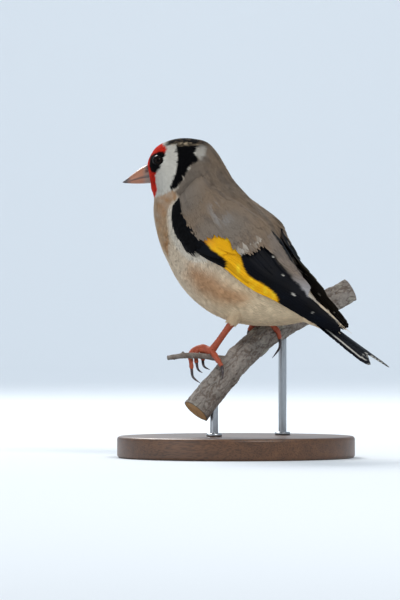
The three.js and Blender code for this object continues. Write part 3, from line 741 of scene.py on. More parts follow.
def lay_feathers(surface, a, b, length, width, stand, turn=0.0, root_lift=-0.6, shape=SOFT_SHAPE):
    """Middle lines, normals and widths of feathers that follow a surface from each root."""
    steps = len(shape)
    t = np.linspace(0, 1, steps)[None, :]
    e = 0.05
    speed_a = np.linalg.norm(surface(a + e, b, 0.0) - surface(a - e, b, 0.0), axis=1) / (2 * e)
    speed_b = np.linalg.norm(surface(a, b + 1, 0.0) - surface(a, b - 1, 0.0), axis=1) / 2
    da = (length * np.cos(turn) / speed_a)[:, None] * t
    db = (length * np.sin(turn) / speed_b)[:, None] * t
    path_a, path_b = a[:, None] + da, b[:, None] + db
    lift = root_lift + (stand[:, None] - root_lift) * t ** 0.7
    flat_a, flat_b = path_a.ravel(), path_b.ravel()
    centres = surface(flat_a, flat_b, lift.ravel()).reshape(*path_a.shape, 3)
    ups = outward(surface, flat_a, flat_b).reshape(*path_a.shape, 3)
    return centres, ups, width[:, None] * shape[None, :], path_a, path_b

# %% [markdown]
# The coat goes on region by region, so that each stays a piece of a handy size. Feathers
# are about a millimetre long on the face and five on the belly, where they also stand up
# most. Each has a tone of its own, which keeps the coat from looking like one cloth.

# %% Coat of the head and body
BODY_REGIONS = {
    "coat_face": (0.0, 3.2), "coat_head": (3.2, 6.4), "coat_neck": (6.4, 9.4),
    "coat_breast": (9.4, 12.2), "coat_belly": (12.2, 15.2), "coat_vent": (15.2, 19.0),
}

def feather_size(index):
    """Spacing, length and width of the contour feathers, small on the face."""
    head, grown = smooth(0, 4, index), smooth(5, 12, index)
    return (0.30 + 0.12 * head + 0.36 * grown, 1.1 + 0.9 * head + 3.0 * grown,
            0.42 + 0.22 * head + 0.80 * grown)

def build_body_coat():
    for name, (start, end) in BODY_REGIONS.items():
        area = 30 * (end - start) * 90
        a, b = spread_roots(body_point, (start, 0), (end, 360),
                            lambda i, _: feather_size(i)[0], int(area * 7))
        eye = profile(ring_point(BODY, a, np.degrees(np.arcsin(np.sin(np.radians(b)))), -1, 0))
        clear = away(eye, (EYE_S, EYE_Z)) > EYE_CLEAR
        side = np.abs(np.cos(np.radians(b))) > 0.5
        keep = clear | ~side
        a, b = a[keep], b[keep]
        _, length, width = feather_size(a)
        scatter = rng.uniform(0.8, 1.2, len(a))
        fluff = 0.06 + 0.22 * smooth(9, 14, a) * rng.uniform(0, 1, len(a))
        room = np.minimum(1, (BODY_END + 0.8 - a) / 1.2)
        spread = 0.04 + 0.09 * smooth(5, 8, a) * smooth(-10, 30, b)
        own_tone = np.repeat(1 + spread * rng.uniform(-1.2, 0.8, len(a)), BUNDLES)
        a, b, length, width, fluff, turn = split_vanes(
            body_point, a, b, length * scatter * room, width * scatter, fluff,
            rng.normal(0, 0.09, len(a)))
        centres, ups, widths, path_a, path_b = lay_feathers(
            body_point, a, b, length, width, fluff, turn)
        points, faces, normals = vane_mesh(centres, ups, widths, fray=0.15)
        tone = body_colours(path_a[:, 2:].mean(1), path_b[:, 2:].mean(1)) * own_tone[:, None]
        tone *= rng.uniform(0.96, 1.04, (len(a), 1))
        root = np.stack([b / 360, a / BODY_END], 1)
        colours, places = dress_vanes(tone, widths, root, [0.85, 0.97, 1.0, 1.02])
        make_piece(name, points, faces, soft_feather, (), colours, places, normals)

build_body_coat()

# %% [markdown]
# Long feathers get a finer build than the coat: a ridge for the shaft down the middle, a
# crowned web on each side, and an edge with small splits where barbs have parted.

# %% Build one blade
COLUMNS = 9

def blade(path, width, outline, steps, crown=0.12, thick=0.14, fray=0.05, shaft=0.09):
    """A closed long feather. path(t, lift) is its middle line, for arrays of t."""
    t = np.linspace(0, 1, steps)
    here = path(t, 0.0)
    along = unit(path(t + 0.01, 0.0) - path(t - 0.01, 0.0))
    up = path(t, 1.0) - here
    up = unit(up - np.sum(up * along, 1, keepdims=True) * along)
    across = np.cross(along, up)
    share = np.interp(t, *np.array(outline).T)
    x = np.linspace(-1, 1, COLUMNS)
    splits = (rng.uniform(0, 1, (steps, 2)) < 0.12) * rng.uniform(0.5, 3, (steps, 2))
    edge = 1 - fray * (rng.uniform(0, 1, (steps, 2)) + splits) * smooth(0.25, 0.6, t)[:, None]
    reach = np.where(x[None, :] < 0, edge[:, :1], edge[:, 1:]) * share[:, None] * width / 2
    high = crown * share[:, None] * width / 2 * (1 - x[None, :] ** 2)
    high = high + shaft * (1 - 0.7 * t[:, None]) * np.exp(-(x[None, :] / 0.13) ** 2)
    side = across[:, None, :] * (x[None, :] * reach)[..., None]
    top = here[:, None, :] + side + up[:, None, :] * high[..., None]
    under = here[:, None, :] + side + up[:, None, :] * (high * 0.8 - thick)[..., None]
    rings = np.concatenate([top, under[:, ::-1]], axis=1)
    places = np.stack(np.meshgrid(np.concatenate([x, x[::-1]]), t), -1)
    return rings.reshape(-1, 3), shell_faces(steps, COLUMNS), places.reshape(-1, 2)

def gather(parts):
    """Joins lists of points, faces and per-point arrays into one mesh."""
    offset, points, faces, rest = 0, [], [], []
    for part_points, part_faces, *others in parts:
        points.append(part_points)
        faces.append(part_faces + offset)
        rest.append(others)
        offset += len(part_points)
    return np.vstack(points), np.vstack(faces), *[np.vstack(column) for column in zip(*rest)]

# %% [markdown]
# The wing is black with a golden band, and its paint comes from the same profile. A few
# off-white spots mark feather tips, a pale fringe ends the brown shoulder, and a pale
# strip runs down the inner edge of the near wing.

# %% Paint of the wing
def to_left(points):
    """Mirrors points of the right side to the left side."""
    return points * np.array([1, -1, 1]) * (points[:, 1:2] > 0) + points * (points[:, 1:2] <= 0)

def wing_colours(points, brown=True):
    left = to_left(points)
    spots = profile(left)
    ragged = 0.3 * noise(left, 0.8, 21) + 0.4 * noise(left, 2.4, 22)
    colour = mix(COAL[None], BLUE_BLACK[None], 0.5 + 0.5 * noise(left, 4, 23))
    if brown:
        depth = inside(BROWN_BACK, spots) + ragged
        colour = mix(colour, back_colours(left), smooth(-0.4, 0.4, depth))
        colour = over(colour, COAL, WING_LEAD, spots, 0.3, ragged)
        colour = over(colour, COAL, WING_MEETING, spots, 0.4, ragged)
    near_wing = np.where(points[:, 1] < 0, 1.0, 0.0)
    strip = smooth(-0.5, 0.5, inside(TERTIAL_STRIP, spots) + ragged) * near_wing
    pale = 0.1 + 0.75 * smooth(70, 60, spots[:, 1])
    colour = mix(colour, mix(back_colours(left), STRIP_GREY[None], pale), 0.85 * strip)
    fringe = smooth(-0.2, 0.3, inside(COVERT_FRINGE, spots) + ragged)
    colour = mix(colour, mix(CHEEK_WHITE, GREY_BROWN, 0.4)[None], 0.5 * fringe)
    for s, z, reach in WING_SPOTS:
        off = spots - [s, z]
        along, across = off @ [0.8, -0.6], off @ [0.6, 0.8]
        spot = smooth(1.1, 0.6, np.hypot(along / reach, across / (0.3 * reach)) + 0.5 * ragged)
        colour = mix(colour, CHEEK_WHITE[None], 0.9 * spot)
    gold = mix(GOLD[None], LEMON[None], smooth(0, 1, noise(left, 1.6, 24)))
    front = smooth(6.5, 1.0, away(spots, WRIST_SPOT))
    gold = mix(gold, ORANGE_GOLD[None], 0.75 * front)
    return mix(colour, gold, smooth(-0.3, 0.3, inside(YELLOW_BAND, spots) + 0.7 * ragged))

# %% [markdown]
# A folded wing is a stack of fans. From below come eight primaries that reach the tip,
# six secondaries, three broad tertials at the inner edge, and two rows of coverts over
# their roots. Each tier says where its feathers start and end, and how high they lie.

# %% Tiers of long feathers
LONG_VANE = [(0, 0.7), (0.35, 1), (0.7, 1), (0.88, 0.86), (0.96, 0.58), (1, 0.22)]
ROUND_VANE = [(0, 0.7), (0.5, 1), (0.78, 0.95), (0.92, 0.7), (1, 0.28)]

def tier(count, root, tip, width, lift, rise, outline, steps):
    return [dict(root=root(k), tip=tip(k), width=width, lift=lift(k), rise=rise(k),
                 outline=outline, steps=steps) for k in range(count)]

LONG_TIERS = (
    tier(8, lambda k: (3.0 + 0.15 * k, 2 + 0.95 * k),
         lambda k: (11.4 - 0.06 * (k - 1) ** 2, 1.3 + 0.9 * k), 3.6,
         lambda k: -0.6 + 0.06 * k, lambda k: -0.6 + 0.12 * k, LONG_VANE, 84)
    + tier(6, lambda k: (3.9 + 0.15 * k, 9.5 + 2.3 * k),
           lambda k: (9.1 - 0.08 * k, 6.8 + 1.0 * k), 4.0,
           lambda k: -0.45 + 0.07 * k, lambda k: 0.1 + 0.14 * k, LONG_VANE, 64)
    + tier(3, lambda k: (4.5 + 0.3 * k, 21.5 + 2 * k),
           lambda k: (8.6 - 0.55 * k, 11.5 + 2 * k), 5.6,
           lambda k: 0.15 * k, lambda k: 0.75 + 0.3 * k, ROUND_VANE, 56)
    + tier(3, lambda k: (1.9 + 0.15 * k, 2.2 + 1.5 * k),
           lambda k: (4.6 - 0.05 * k, 4 + 2 * k), 3.4,
           lambda k: -0.15 + 0.08 * k, lambda k: 0.1 * k, ROUND_VANE, 36)
    + tier(9, lambda k: (3.2 + 0.11 * k, 7.5 + 2.1 * k),
           lambda k: (5.0 + 0.09 * k, 8.5 + 2.0 * k), 3.6,
           lambda k: 0.1 + 0.03 * k, lambda k: 0.42 + 0.05 * k, ROUND_VANE, 36))
print("long feathers on each wing:", len(LONG_TIERS))

# %% [markdown]
# The far wing is folded a little tighter, so its longest feathers end a few millimetres
# short of the near ones. A thin pale edge on each feather parts it from the next.

# %% Long feathers of the wings
FAR_WING_SHORT = 0.45

def long_feather(side, root, tip, width, lift, rise, outline, steps):
    tip = (tip[0] - (FAR_WING_SHORT if side > 0 and tip[0] > 10 else 0), tip[1])

    def path(t, raised):
        return wing_point(root[0] + (tip[0] - root[0]) * t, root[1] + (tip[1] - root[1]) * t,
                          side, lift + (rise - lift) * t + raised)
    points, faces, places = blade(path, width, outline, steps)
    x, t = places.T
    colour = wing_colours(points, brown=False)
    fringe = smooth(0.86, 0.99, x * side) * smooth(0.35, 0.6, t)
    colour = mix(colour, BUFF_WHITE[None], 0.08 * fringe)
    colour *= (0.9 + 0.2 * rng.uniform()) * (1 + 0.06 * noise(points, 0.7, 31))[:, None]
    patch = 0.5 + 0.0015 * places + [0.07 * side, 0]
    return points, faces, colour, patch

def build_long_feathers():
    for side, word in ((-1, "left"), (1, "right")):
        parts = [long_feather(side, **feather) for feather in LONG_TIERS]
        points, faces, colours, places = gather(parts)
        make_piece(f"flight_feathers_{word}", points, faces, flight_feather,
                   (f"wing_{word}",), colours, places)

build_long_feathers()

# %% [markdown]
# Over the roots of the long feathers lie the coverts, and over those the brown shoulder
# feathers, which close the step between the back and the wing. They all grow on one
# surface that leaves the body at the back and swells out to the folded wing.

# %% Base of the wings
def shoulder(side):
    def surface(index, angle, lift=0.0):
        row = rows_at(WING, index)
        out = WING_OUT * smooth(row[..., 7] + 16, row[..., 7] + 2, angle)
        out = out * smooth(row[..., 6] - 9, row[..., 6] + 3, angle)
        return ring_point(WING, index, angle, side, out + lift)
    return surface

def build_wing_base(side, word):
    steps, across = 60, 44
    surface = shoulder(side)
    index, share = np.meshgrid(np.linspace(0.25, 6.6, steps), np.linspace(0, 1, across),
                               indexing="ij")
    row = rows_at(WING, index)
    angle = row[..., 6] + 3 + (row[..., 7] + 3 - row[..., 6]) * share
    top, under = surface(index, angle, -0.25), surface(index, angle, -1.2)
    points = np.concatenate([top, under[:, ::-1]], axis=1).reshape(-1, 3)
    places = np.stack(np.meshgrid(np.linspace(0.3, 0.7, 2 * across), np.linspace(0, 1, steps)),
                      -1).reshape(-1, 2)
    # The shell wears the wing's colours at 0.7, painted shade under the coverts that lie on it.
    make_piece(f"wing_base_{word}", points, shell_faces(steps, across), soft_feather,
               (), wing_colours(points) * 0.7, places)

# %% [markdown]
# The coverts stop where the long feathers take over. The brown ones reach farthest back,
# on the near wing as far as the pale strip, and the last of them stand clear of the
# wing so that their pale tips show as a ragged fringe.

# %% Coverts and shoulder feathers
COVERT_SHAPE = np.array([0.6, 0.9, 1.0, 0.86, 0.22])
# Ring places where coverts end: the brown of the near wing, its pale strip, the brown of
# the far wing, the dark ones, and those that may pass the wing's upper edge.
BROWN_END, NEAR_END, FAR_END, DARK_END, EDGE_END = 5.0, 7, 5.8, 2.9, 5.6
FAR_DARK_BELOW = 80.5

def build_coverts(side, word):
    surface = shoulder(side)
    a, b = spread_roots(surface, (-0.1, -16), (8.0, 92),
                        lambda i, _: 0.62 + 0.13 * np.clip(i, 0, 4), 32000)
    row = rows_at(WING, a)
    spots = profile(to_left(surface(a + 0.35, b, 0.0)))
    strip = (inside(TERTIAL_STRIP, spots) > 0) if side < 0 else np.zeros(len(a), bool)
    brown = strip | ((inside(BROWN_BACK, spots) > 0.2) & ((a < BROWN_END) | (side > 0)))
    keep = (b > row[:, 6] - 1) & (b < row[:, 7] + np.where(a < EDGE_END, 15, 1))
    keep &= (brown & (a < (NEAR_END if side < 0 else FAR_END))) | (a < DARK_END)
    a, b, brown, row, spots = a[keep], b[keep], brown[keep], row[keep], spots[keep]
    grown = smooth(-0.2, 4, a)
    length = np.where(brown, 3.2 + 2.4 * grown, 2.4 + 2.8 * grown)
    width = np.where(brown, 1.5 + 1.1 * grown, 1.3 + 1.3 * grown)
    scatter = rng.uniform(0.85, 1.15, len(a))
    over_long = smooth(1.8, 4.2, a) * brown * smooth(row[:, 7] + 13, row[:, 7] + 3, b)
    stand = (0.3 + 1.15 * over_long) * rng.uniform(0.9, 1.1, len(a))
    root_lift = np.repeat(-0.4 + 1.1 * over_long, BUNDLES)[:, None]
    brown, spots = np.repeat(brown, BUNDLES), np.repeat(spots, BUNDLES, axis=0)
    a, b, length, width, stand, turn = split_vanes(
        surface, a, b, length * scatter, width * scatter, stand, rng.normal(0, 0.07, len(a)))
    centres, ups, widths, _, _ = lay_feathers(
        surface, a, b, length, width, stand, turn, root_lift, COVERT_SHAPE)
    points, faces, normals = vane_mesh(centres, ups, widths, fray=0.2)
    tone = wing_colours(centres[:, 3]) * rng.uniform(0.95, 1.05, len(a))[:, None]
    own = np.flatnonzero(brown)
    middle, tips = (to_left(centres[own, step]) for step in (2, 4))
    plain = (inside(WING_LEAD, spots[own]) < 0) & (inside(TERTIAL_STRIP, spots[own]) < 0)
    plain &= inside(WING_MEETING, profile(middle)) < 0
    edge = 0.4 * smooth(-0.6, 0.5, inside(COVERT_FRINGE, profile(tips)))
    brown_tone = mix(back_colours(middle), CHEEK_WHITE[None], edge)
    tone[own] = np.where(plain[:, None], brown_tone, tone[own])
    if side > 0:
        low = middle[:, 2] < FAR_DARK_BELOW + 1.5 * noise(middle, 2, 84)
        tone[own[low]] = COAL
    root = np.stack([0.5 + side * b / 720, (a + 8) / BODY_END], 1)
    colours, places = dress_vanes(tone, widths, root, [0.8, 0.92, 1.0, 1.0, 1.04])
    make_piece(f"coverts_{word}", points, faces, soft_feather, (),
               colours, places, normals)

for wing_side, wing_word in ((-1, "left"), (1, "right")):
    build_wing_base(wing_side, wing_word)
    build_coverts(wing_side, wing_word)

# %% [markdown]
# The tail has six pairs of feathers. The middle pair lies on top and the outer pairs are
# longer and lower, which gives the shallow fork. White marks sit near the tips.

# %% Tail
TAIL_ROOT = np.array([30.0, 0, 55.0])
TAIL_DROP = math.radians(34.1)
TAIL_PAIRS, TAIL_SHORT, TAIL_LONG, TAIL_WIDTH, TAIL_SKEW = 6, 30.5, 35.6, 4.6, 0.8
TAIL_VANE = [(0, 0.6), (0.35, 0.95), (0.7, 1), (0.9, 0.85), (0.97, 0.55), (1, 0.2)]

def tail_feather(side, pair):
    roll = math.radians((5 + 3 * pair) * (1 if side < 0 else 0.3))
    along = np.array([math.cos(TAIL_DROP), 0, -math.sin(TAIL_DROP)])
    up = np.array([math.sin(TAIL_DROP) * math.cos(roll), side * math.sin(roll),
                   math.cos(TAIL_DROP) * math.cos(roll)])
    length = TAIL_SHORT + (TAIL_LONG - TAIL_SHORT) * pair / (TAIL_PAIRS - 1) + side * TAIL_SKEW
    level = (0.18 if side < 0 else 0) - 0.2 * pair

    def path(t, raised):
        out = 0.3 + 0.5 * pair + (0.9 + 0.65 * pair) * t
        return (TAIL_ROOT + along * (length * t)[:, None] + up * (raised + level)
                + np.array([0, side, 0]) * out[:, None])

    points, faces, places = blade(path, TAIL_WIDTH, TAIL_VANE, 72)
    x, t = places.T
    colour = mix(COAL[None], BLUE_BLACK[None], 0.5 + 0.5 * noise(points, 4, 33))
    tip = smooth(0.965, 0.99, t + 0.015 * noise(points, 0.5, 34)) * (0.7 if pair < 4 else 0.3)
    spot = smooth(0.85, 0.87, t) * smooth(0.94, 0.92, t) * smooth(0.45, 0.15, np.abs(x - 0.2 * side))
    spot = spot * smooth(-0.3, 0.2, noise(points, 0.7, 36)) * (pair >= 3)
    colour = mix(colour, CHEEK_WHITE[None], np.maximum(tip, spot) * 0.95)
    line = smooth(0.16, 0.08, np.abs(x * side + 0.3)) * smooth(0.3, 0.4, t) * smooth(0.9, 0.86, t)
    line = line * (0.95 if side < 0 else 0.5) * (pair == TAIL_PAIRS - 1)
    colour = mix(colour, CHEEK_WHITE[None], line)
    patch = 0.2 + 0.0015 * places
    return points, faces, colour * (1 + 0.06 * noise(points, 0.7, 35))[:, None], patch

def build_tail():
    parts = [tail_feather(side, pair) for pair in range(TAIL_PAIRS) for side in (-1, 1)]
    points, faces, colours, places = gather(parts)
    make_piece("tail_feathers", points, faces, flight_feather, ("tail",),
               colours, places)

build_tail()

# %% [markdown]
# Longer feathers run from the rump and the vent over the root of the tail, above and
# below, so that the tail grows out of the body without an edge.

# %% Coverts of the tail
SLEEVE = np.array([
    [30.5, 53.9, 41, 5.2, 7.4, 0], [33.5, 52.4, 45, 3.9, 6.6, 0], [37.5, 50.0, 51, 2.6, 6.0, 0],
    [42.0, 47.0, 55, 1.7, 5.8, 0], [46.0, 44.3, 55.9, 1.3, 5.7, 0], [51.0, 40.9, 55.9, 1.2, 5.6, 0],
])

def sleeve(index, angle, lift=0.0):
    return ring_point(SLEEVE, index, angle, 1, lift)

def build_tail_coverts():
    a, b = spread_roots(sleeve, (0.0, 0), (2.1, 360), lambda i, _: 0.8 + 0.1 * i, 9000)
    keep = (np.sin(np.radians(b)) > 0) | (a < 0.7)
    a, b = a[keep], b[keep]
    scatter = rng.uniform(0.85, 1.15, len(a))
    above = np.sin(np.radians(b))
    a, b, length, width, stand, turn = split_vanes(
        sleeve, a, b, 5.4 * scatter, 1.9 * scatter, rng.uniform(0.15, 0.4, len(a)),
        rng.normal(0, 0.06, len(a)))
    above = np.repeat(above, BUNDLES)
    centres, ups, widths, _, _ = lay_feathers(sleeve, a, b, length, width, stand, turn, -0.5,
                                              COVERT_SHAPE)
    points, faces, normals = vane_mesh(centres, ups, widths, fray=0.25)
    dark = smooth(1.0, 1.9, a + 0.3 * noise(centres[:, 3], 1.5, 82)) * smooth(-0.1, 0.3, above)
    tone = mix(BUFF_WHITE[None], mix(CHEEK_WHITE, GREY_BROWN, 0.3)[None],
               smooth(-0.1, 0.2, above) * smooth(0, 1.2, a + 0.4 * noise(centres[:, 2], 1.5, 83)))
    tone = mix(tone, COAL[None], 0.9 * dark)
    tone = tone * rng.uniform(0.92, 1.05, (len(a), 1))
    root = np.stack([b / 360, 0.95 + 0.01 * a], 1)
    colours, places = dress_vanes(tone, widths, root, [0.85, 0.95, 1.0, 1.0, 1.0])
    make_piece("tail_coverts", points, faces, soft_feather, (), colours,
               places, normals)

build_tail_coverts()

# %% [markdown]
# Round limbs such as legs, toes, claws and branches are drawn as tubes round a smooth
# line. Each ring is turned as little as possible from the one before, so nothing twists.

# %% Tubes
def smooth_line(knots, steps):
    knots = np.array(knots, float)
    place = np.linspace(0, len(knots) - 1, 400)
    fine = rows_at(knots, place)
    run = np.concatenate([[0], np.cumsum(np.linalg.norm(np.diff(fine, axis=0), axis=1))])
    even = np.linspace(0, run[-1], steps)
    return np.stack([np.interp(even, run, fine[:, k]) for k in range(3)], 1), run[-1]

def frames_along(line):
    along = unit(np.gradient(line, axis=0))
    first = np.cross(along[0], [0, 0, 1.0])
    normals = [first / np.linalg.norm(first)]
    for direction in along[1:]:
        step = normals[-1] - direction * (normals[-1] @ direction)
        normals.append(step / np.linalg.norm(step))
    normals = np.array(normals)
    return along, normals, np.cross(along, normals)

def tube(knots, radii, sides, steps, swell=None, closed_round=False):
    """Points, faces and (angle, distance) places of a tube round a line."""
    line, length = smooth_line(knots, steps)
    _, right, up = frames_along(line)
    t = np.linspace(0, 1, steps)
    radius = np.interp(t * (len(radii) - 1), np.arange(len(radii)), radii)
    if closed_round:
        radius = radius * np.sqrt(np.clip(1 - ((t - 0.9) / 0.1).clip(0) ** 2, 0.0004, 1))
    angle = np.arange(sides) * 2 * np.pi / sides
    spoke = (right[:, None] * np.cos(angle)[None, :, None]
             + up[:, None] * np.sin(angle)[None, :, None])
    places = np.stack(np.meshgrid(angle, t * length), -1).reshape(-1, 2)
    points = line[:, None] + spoke * radius[:, None, None]
    if swell is not None:
        extra = swell(points.reshape(-1, 3), places, t.repeat(sides)).reshape(steps, sides)
        points = points + spoke * extra[..., None]
    points = points.reshape(-1, 3)
    points = np.vstack([points, points[:sides].mean(0), points[-sides:].mean(0)])
    places = np.vstack([places, [[0, 0], [0, length]]])
    return points, ring_faces(steps, sides), end_fans(steps, sides), places

def join_tubes(tubes):
    """Points and faces of several tubes as one mesh."""
    offset, points, sides, caps = 0, [], [], []
    for tube_points, tube_sides, tube_caps, _ in tubes:
        points.append(tube_points)
        sides.append(tube_sides + offset)
        caps.append(tube_caps + offset)
        offset += len(tube_points)
    return np.vstack(points), [np.vstack(sides), np.vstack(caps)]

# %% [markdown]
# Legs and toes are bare skin under small horny plates. The plates show as steps along
# the front, each a little proud of the next, and the claws are smooth dark horn.

# %% Scaled skin and claws
SCALE_MM, HORN_GRAIN_MM = 0.34, 0.5

def skin_material():
    material, tree, shader = new_material("leg_skin_scutes", Roughness=0.55, IOR=1.5)
    shader.inputs["Subsurface Weight"].default_value = 0.08
    shader.inputs["Subsurface Scale"].default_value = 0.8 * MM
    place = add(tree, "ShaderNodeTexCoord")
    cells = add(tree, "ShaderNodeTexVoronoi", {"Scale": 1 / (SCALE_MM * MM)},
                {"Vector": place.outputs["Object"]}, feature="DISTANCE_TO_EDGE")
    edge = shade_markings(tree, shader, cells.outputs["Distance"],
                          {"From Max": 0.12, "To Min": 0.6, "To Max": 1.0})
    raise_texture(tree, shader, edge, 0.5, 0.05)
    return material

def horn_material(name, roughness, coat):
    material, tree, shader = new_material(name, Roughness=roughness, IOR=1.54,
                                          Coat_Weight=coat, Coat_Roughness=0.2)
    fibres = grain_of(tree, HORN_GRAIN_MM, 4.0)
    shade_markings(tree, shader, fibres, {"To Min": 0.86, "To Max": 1.12})
    raise_texture(tree, shader, fibres, 0.15, 0.04)
    return material

leg_skin = skin_material()
claw_horn = horn_material("claw_horn", 0.35, 0.3)
bill_horn = horn_material("bill_horn", 0.42, 0.25)
print("leg and horn materials:", leg_skin.name, claw_horn.name, bill_horn.name)

# %% [markdown]
# The feet decide how the bird sits, so the perch's middle lines come first. The left foot
# grips the twig and the right foot the branch, each with three toes forward and one back,
# and every toe is a line of points from the ball of the foot to the claw.

# %% Lines of the perch, legs and toes
BRANCH_LINE = [[-7.2, -18, 17.6], [-2.8, -12, 25.8], [1.7, -5, 34.5], [4.8, 2, 40.2],
               [8.2, 9, 45.4], [9.6, 19, 49.1], [14, 28, 53.5], [21.3, 36, 58.1], [26.8, 41, 62]]
TWIG_LINE = [[1.5, -6, 36], [-8.5, -10, 37.6], [-13.4, -15, 37.8], [-17.9, -20, 37]]
BRANCH_R, TWIG_R = [5.15, 4.85, 4.85, 4.65, 4.45], [1.35, 1.05, 1.05, 0.85]
LEG_R, TOE_R, CLAW_R, TOE_DEPTH = 1.2, 1.05, 0.55, 0.6
LEFT_BALL, RIGHT_BALL = [-5.6, -8.7, 39.6], [7.3, 8.5, 51.4]
LEFT_LEG = [LEFT_BALL, [-1.4, -8.9, 44.6], [3.1, -9, 50.2], [5.8, -8.9, 54.2]]
RIGHT_LEG = [RIGHT_BALL, [9.4, 8.9, 53.6], [12.2, 9.2, 57.2]]
# Each toe as a line from the ball of the foot, then its claw going on from the end.
LEFT_TOES = [
    ([[-9.6, -8.1, 40.7], [-12.6, -9.6, 39.9], [-13.1, -11.1, 37.8], [-12.6, -11.7, 35.4],
      [-12.3, -11.8, 32.6]], [[-11.5, -12.1, 29.8], [-8.6, -12, 27.7]]),
    ([[-9.6, -8.6, 40.9], [-11.4, -9.5, 39.4], [-11.5, -9.9, 37], [-11.0, -10.3, 34.8]],
     [[-10.5, -10, 32.6], [-9, -9.4, 31.4]]),
    ([[-8.3, -7.7, 40.1], [-9.6, -7.6, 38.2], [-9.6, -8.1, 35.8]],
     [[-8.6, -8.8, 33.7], [-6.3, -8.7, 32.6]]),
    ([[-3.3, -10.4, 37.8], [-0.6, -12.4, 35.6], [1, -13.1, 33.8]],
     [[1.9, -14.1, 31.6], [1.6, -13.9, 29.2]]),
]
RIGHT_TOES = [
    ([[5.2, 7.7, 50.9], [3.1, 7.1, 49], [1.8, 6.8, 46.9]], [[1.4, 6.9, 44.8], [2.4, 7.1, 42.9]]),
    ([[5.6, 9.8, 51.7], [3.4, 10, 50.1], [2.1, 10, 47.8], [1.9, 9.6, 45.4]],
     [[2.3, 9.3, 43.3], [3.7, 9.3, 41.4]]),
    ([[6.3, 11.2, 52.2], [4.4, 13, 51.2], [3.2, 13.4, 49.2]],
     [[2.9, 13.2, 47.1], [3.6, 13, 45.3]]),
    ([[9, 7.3, 50.8], [10.3, 7.2, 48.9], [12.0, 8.1, 46.5], [12.8, 9.3, 44.1]],
     [[12.9, 10.1, 40.6], [9.8, 10.3, 36.8]]),
]
# The ball of each foot, as steps from its middle.
LEFT_PAD = [(1.3, 0, 1.3), (0, 0, 0), (-2.6, 0.1, 0.3), (-5.2, -0.4, 0.1)]
RIGHT_PAD = [(1.3, 0, 1.3), (0, 0, 0), (-1.2, 0, -0.3)]
LEG_ROSE, LEG_BROWN, CLAW_DARK = paint("#c4592f"), paint("#84392a"), paint("#15171c")
print("toes:", len(LEFT_TOES), "on the left foot and", len(RIGHT_TOES), "on the right")

# %% [markdown]
# The plates are a saw-tooth along the limb, and toes have a row of soft pads below. A
# bird's toe lies on the bark and never in it, so each toe is pushed out to the surface.

# %% Plates, pads and grip
def scutes(pitch, depth):
    """Plates as a saw-tooth along the limb, strongest on the front half."""
    def swell(points, places, t):
        angle, run = places.T
        tooth = 1 - np.mod(run / pitch + 0.12 * np.sin(angle), 1)
        return depth * (tooth ** 2 - 0.3) * (0.6 + 0.4 * np.cos(angle)) + 0.02 * noise(points, 0.3, 40)
    return swell

def toe_swell(points, places, t):
    pads = 0.10 * np.cos(6 * np.pi * t)
    return pads + scutes(0.62, 0.10)(points, places, t)

def limb_colours(points, base, dark):
    tone = 0.5 + 0.5 * layered_noise(points, 1.4, 3, 41)
    return mix(base[None], dark[None], 0.15 + 0.6 * tone)

def rest_on_bark(line):
    """Moves the points of a toe out until they lie on the branch and the twig."""
    line = np.array(line, float)
    for knots, radius in ((BRANCH_LINE, BRANCH_R[1]), (TWIG_LINE, TWIG_R[1])):
        middle, _ = smooth_line(knots, 300)
        for point in line[1:]:
            nearest = middle[np.argmin(np.linalg.norm(middle - point, axis=1))]
            gap = point - nearest
            room = radius + TOE_DEPTH
            if np.linalg.norm(gap) < room:
                point += unit(gap) * (room - np.linalg.norm(gap))
    return line

# %% [markdown]
# Each leg is one tapered tube. A foot is its toes and the pad between them, which stay one
# piece as they are one skin, and the claws are drawn on from the same lines.

# %% Legs, toes and claws
SHANK_R = [LEG_R + 0.25, LEG_R, LEG_R, LEG_R + 0.2, LEG_R + 0.3]
TOE_TAPER, PAD_R = [TOE_R + 0.2, TOE_R, TOE_R - 0.1, 0.78], [0.9, 1.55, 1.45, 1.0]
CLAW_TAPER = [CLAW_R, 0.56, 0.5, 0.36, 0.08]

def build_legs():
    for word, ball, pad, toes, leg in (("left", LEFT_BALL, LEFT_PAD, LEFT_TOES, LEFT_LEG),
                                       ("right", RIGHT_BALL, RIGHT_PAD, RIGHT_TOES, RIGHT_LEG)):
        points, faces = join_tubes([tube(leg, SHANK_R, 32, 150, scutes(1.25, 0.13))])
        make_piece(f"shank_{word}", points, faces, leg_skin, (f"leg_{word}",),
                   limb_colours(points, LEG_ROSE, LEG_BROWN))
        tubes = [tube(rest_on_bark([ball, *toe]), TOE_TAPER, 24, 90, toe_swell, closed_round=True)
                 for toe, _ in toes]
        tubes.append(tube(np.array(ball) + np.array(pad), PAD_R, 32, 60, scutes(0.7, 0.08),
                          closed_round=True))
        points, faces = join_tubes(tubes)
        make_piece(f"toes_{word}", points, faces, leg_skin, (f"foot_{word}",),
                   limb_colours(points, LEG_ROSE, LEG_BROWN))
        points, faces = join_tubes([
            tube(rest_on_bark([ball, toe[-2], toe[-1], *claw])[1:], CLAW_TAPER, 20, 50)
            for toe, claw in toes])
        make_piece(f"claws_{word}", points, faces, claw_horn, (),
                   mix(CLAW_DARK[None], LEG_BROWN[None], 0.1 + 0.1 * noise(points, 0.8, 42)))

build_legs()

# %% [markdown]
# Loose feathers cover the thighs and end in a ragged cuff round the bare shank.

# %% Feathered thighs
THIGHS = {"left": ([[9, -8.5, 58], [5.4, -8.8, 54], [3.6, -9, 51.2], [1.6, -8.95, 48.4]],
                   [5.0, 3.6, 2.2, 1.3]),
          "right": ([[15, 8.5, 60], [11.5, 8.8, 55.6], [10, 8.9, 53.6], [8.6, 8.7, 52.2]],
                    [5.0, 3.4, 2.2, 1.3])}

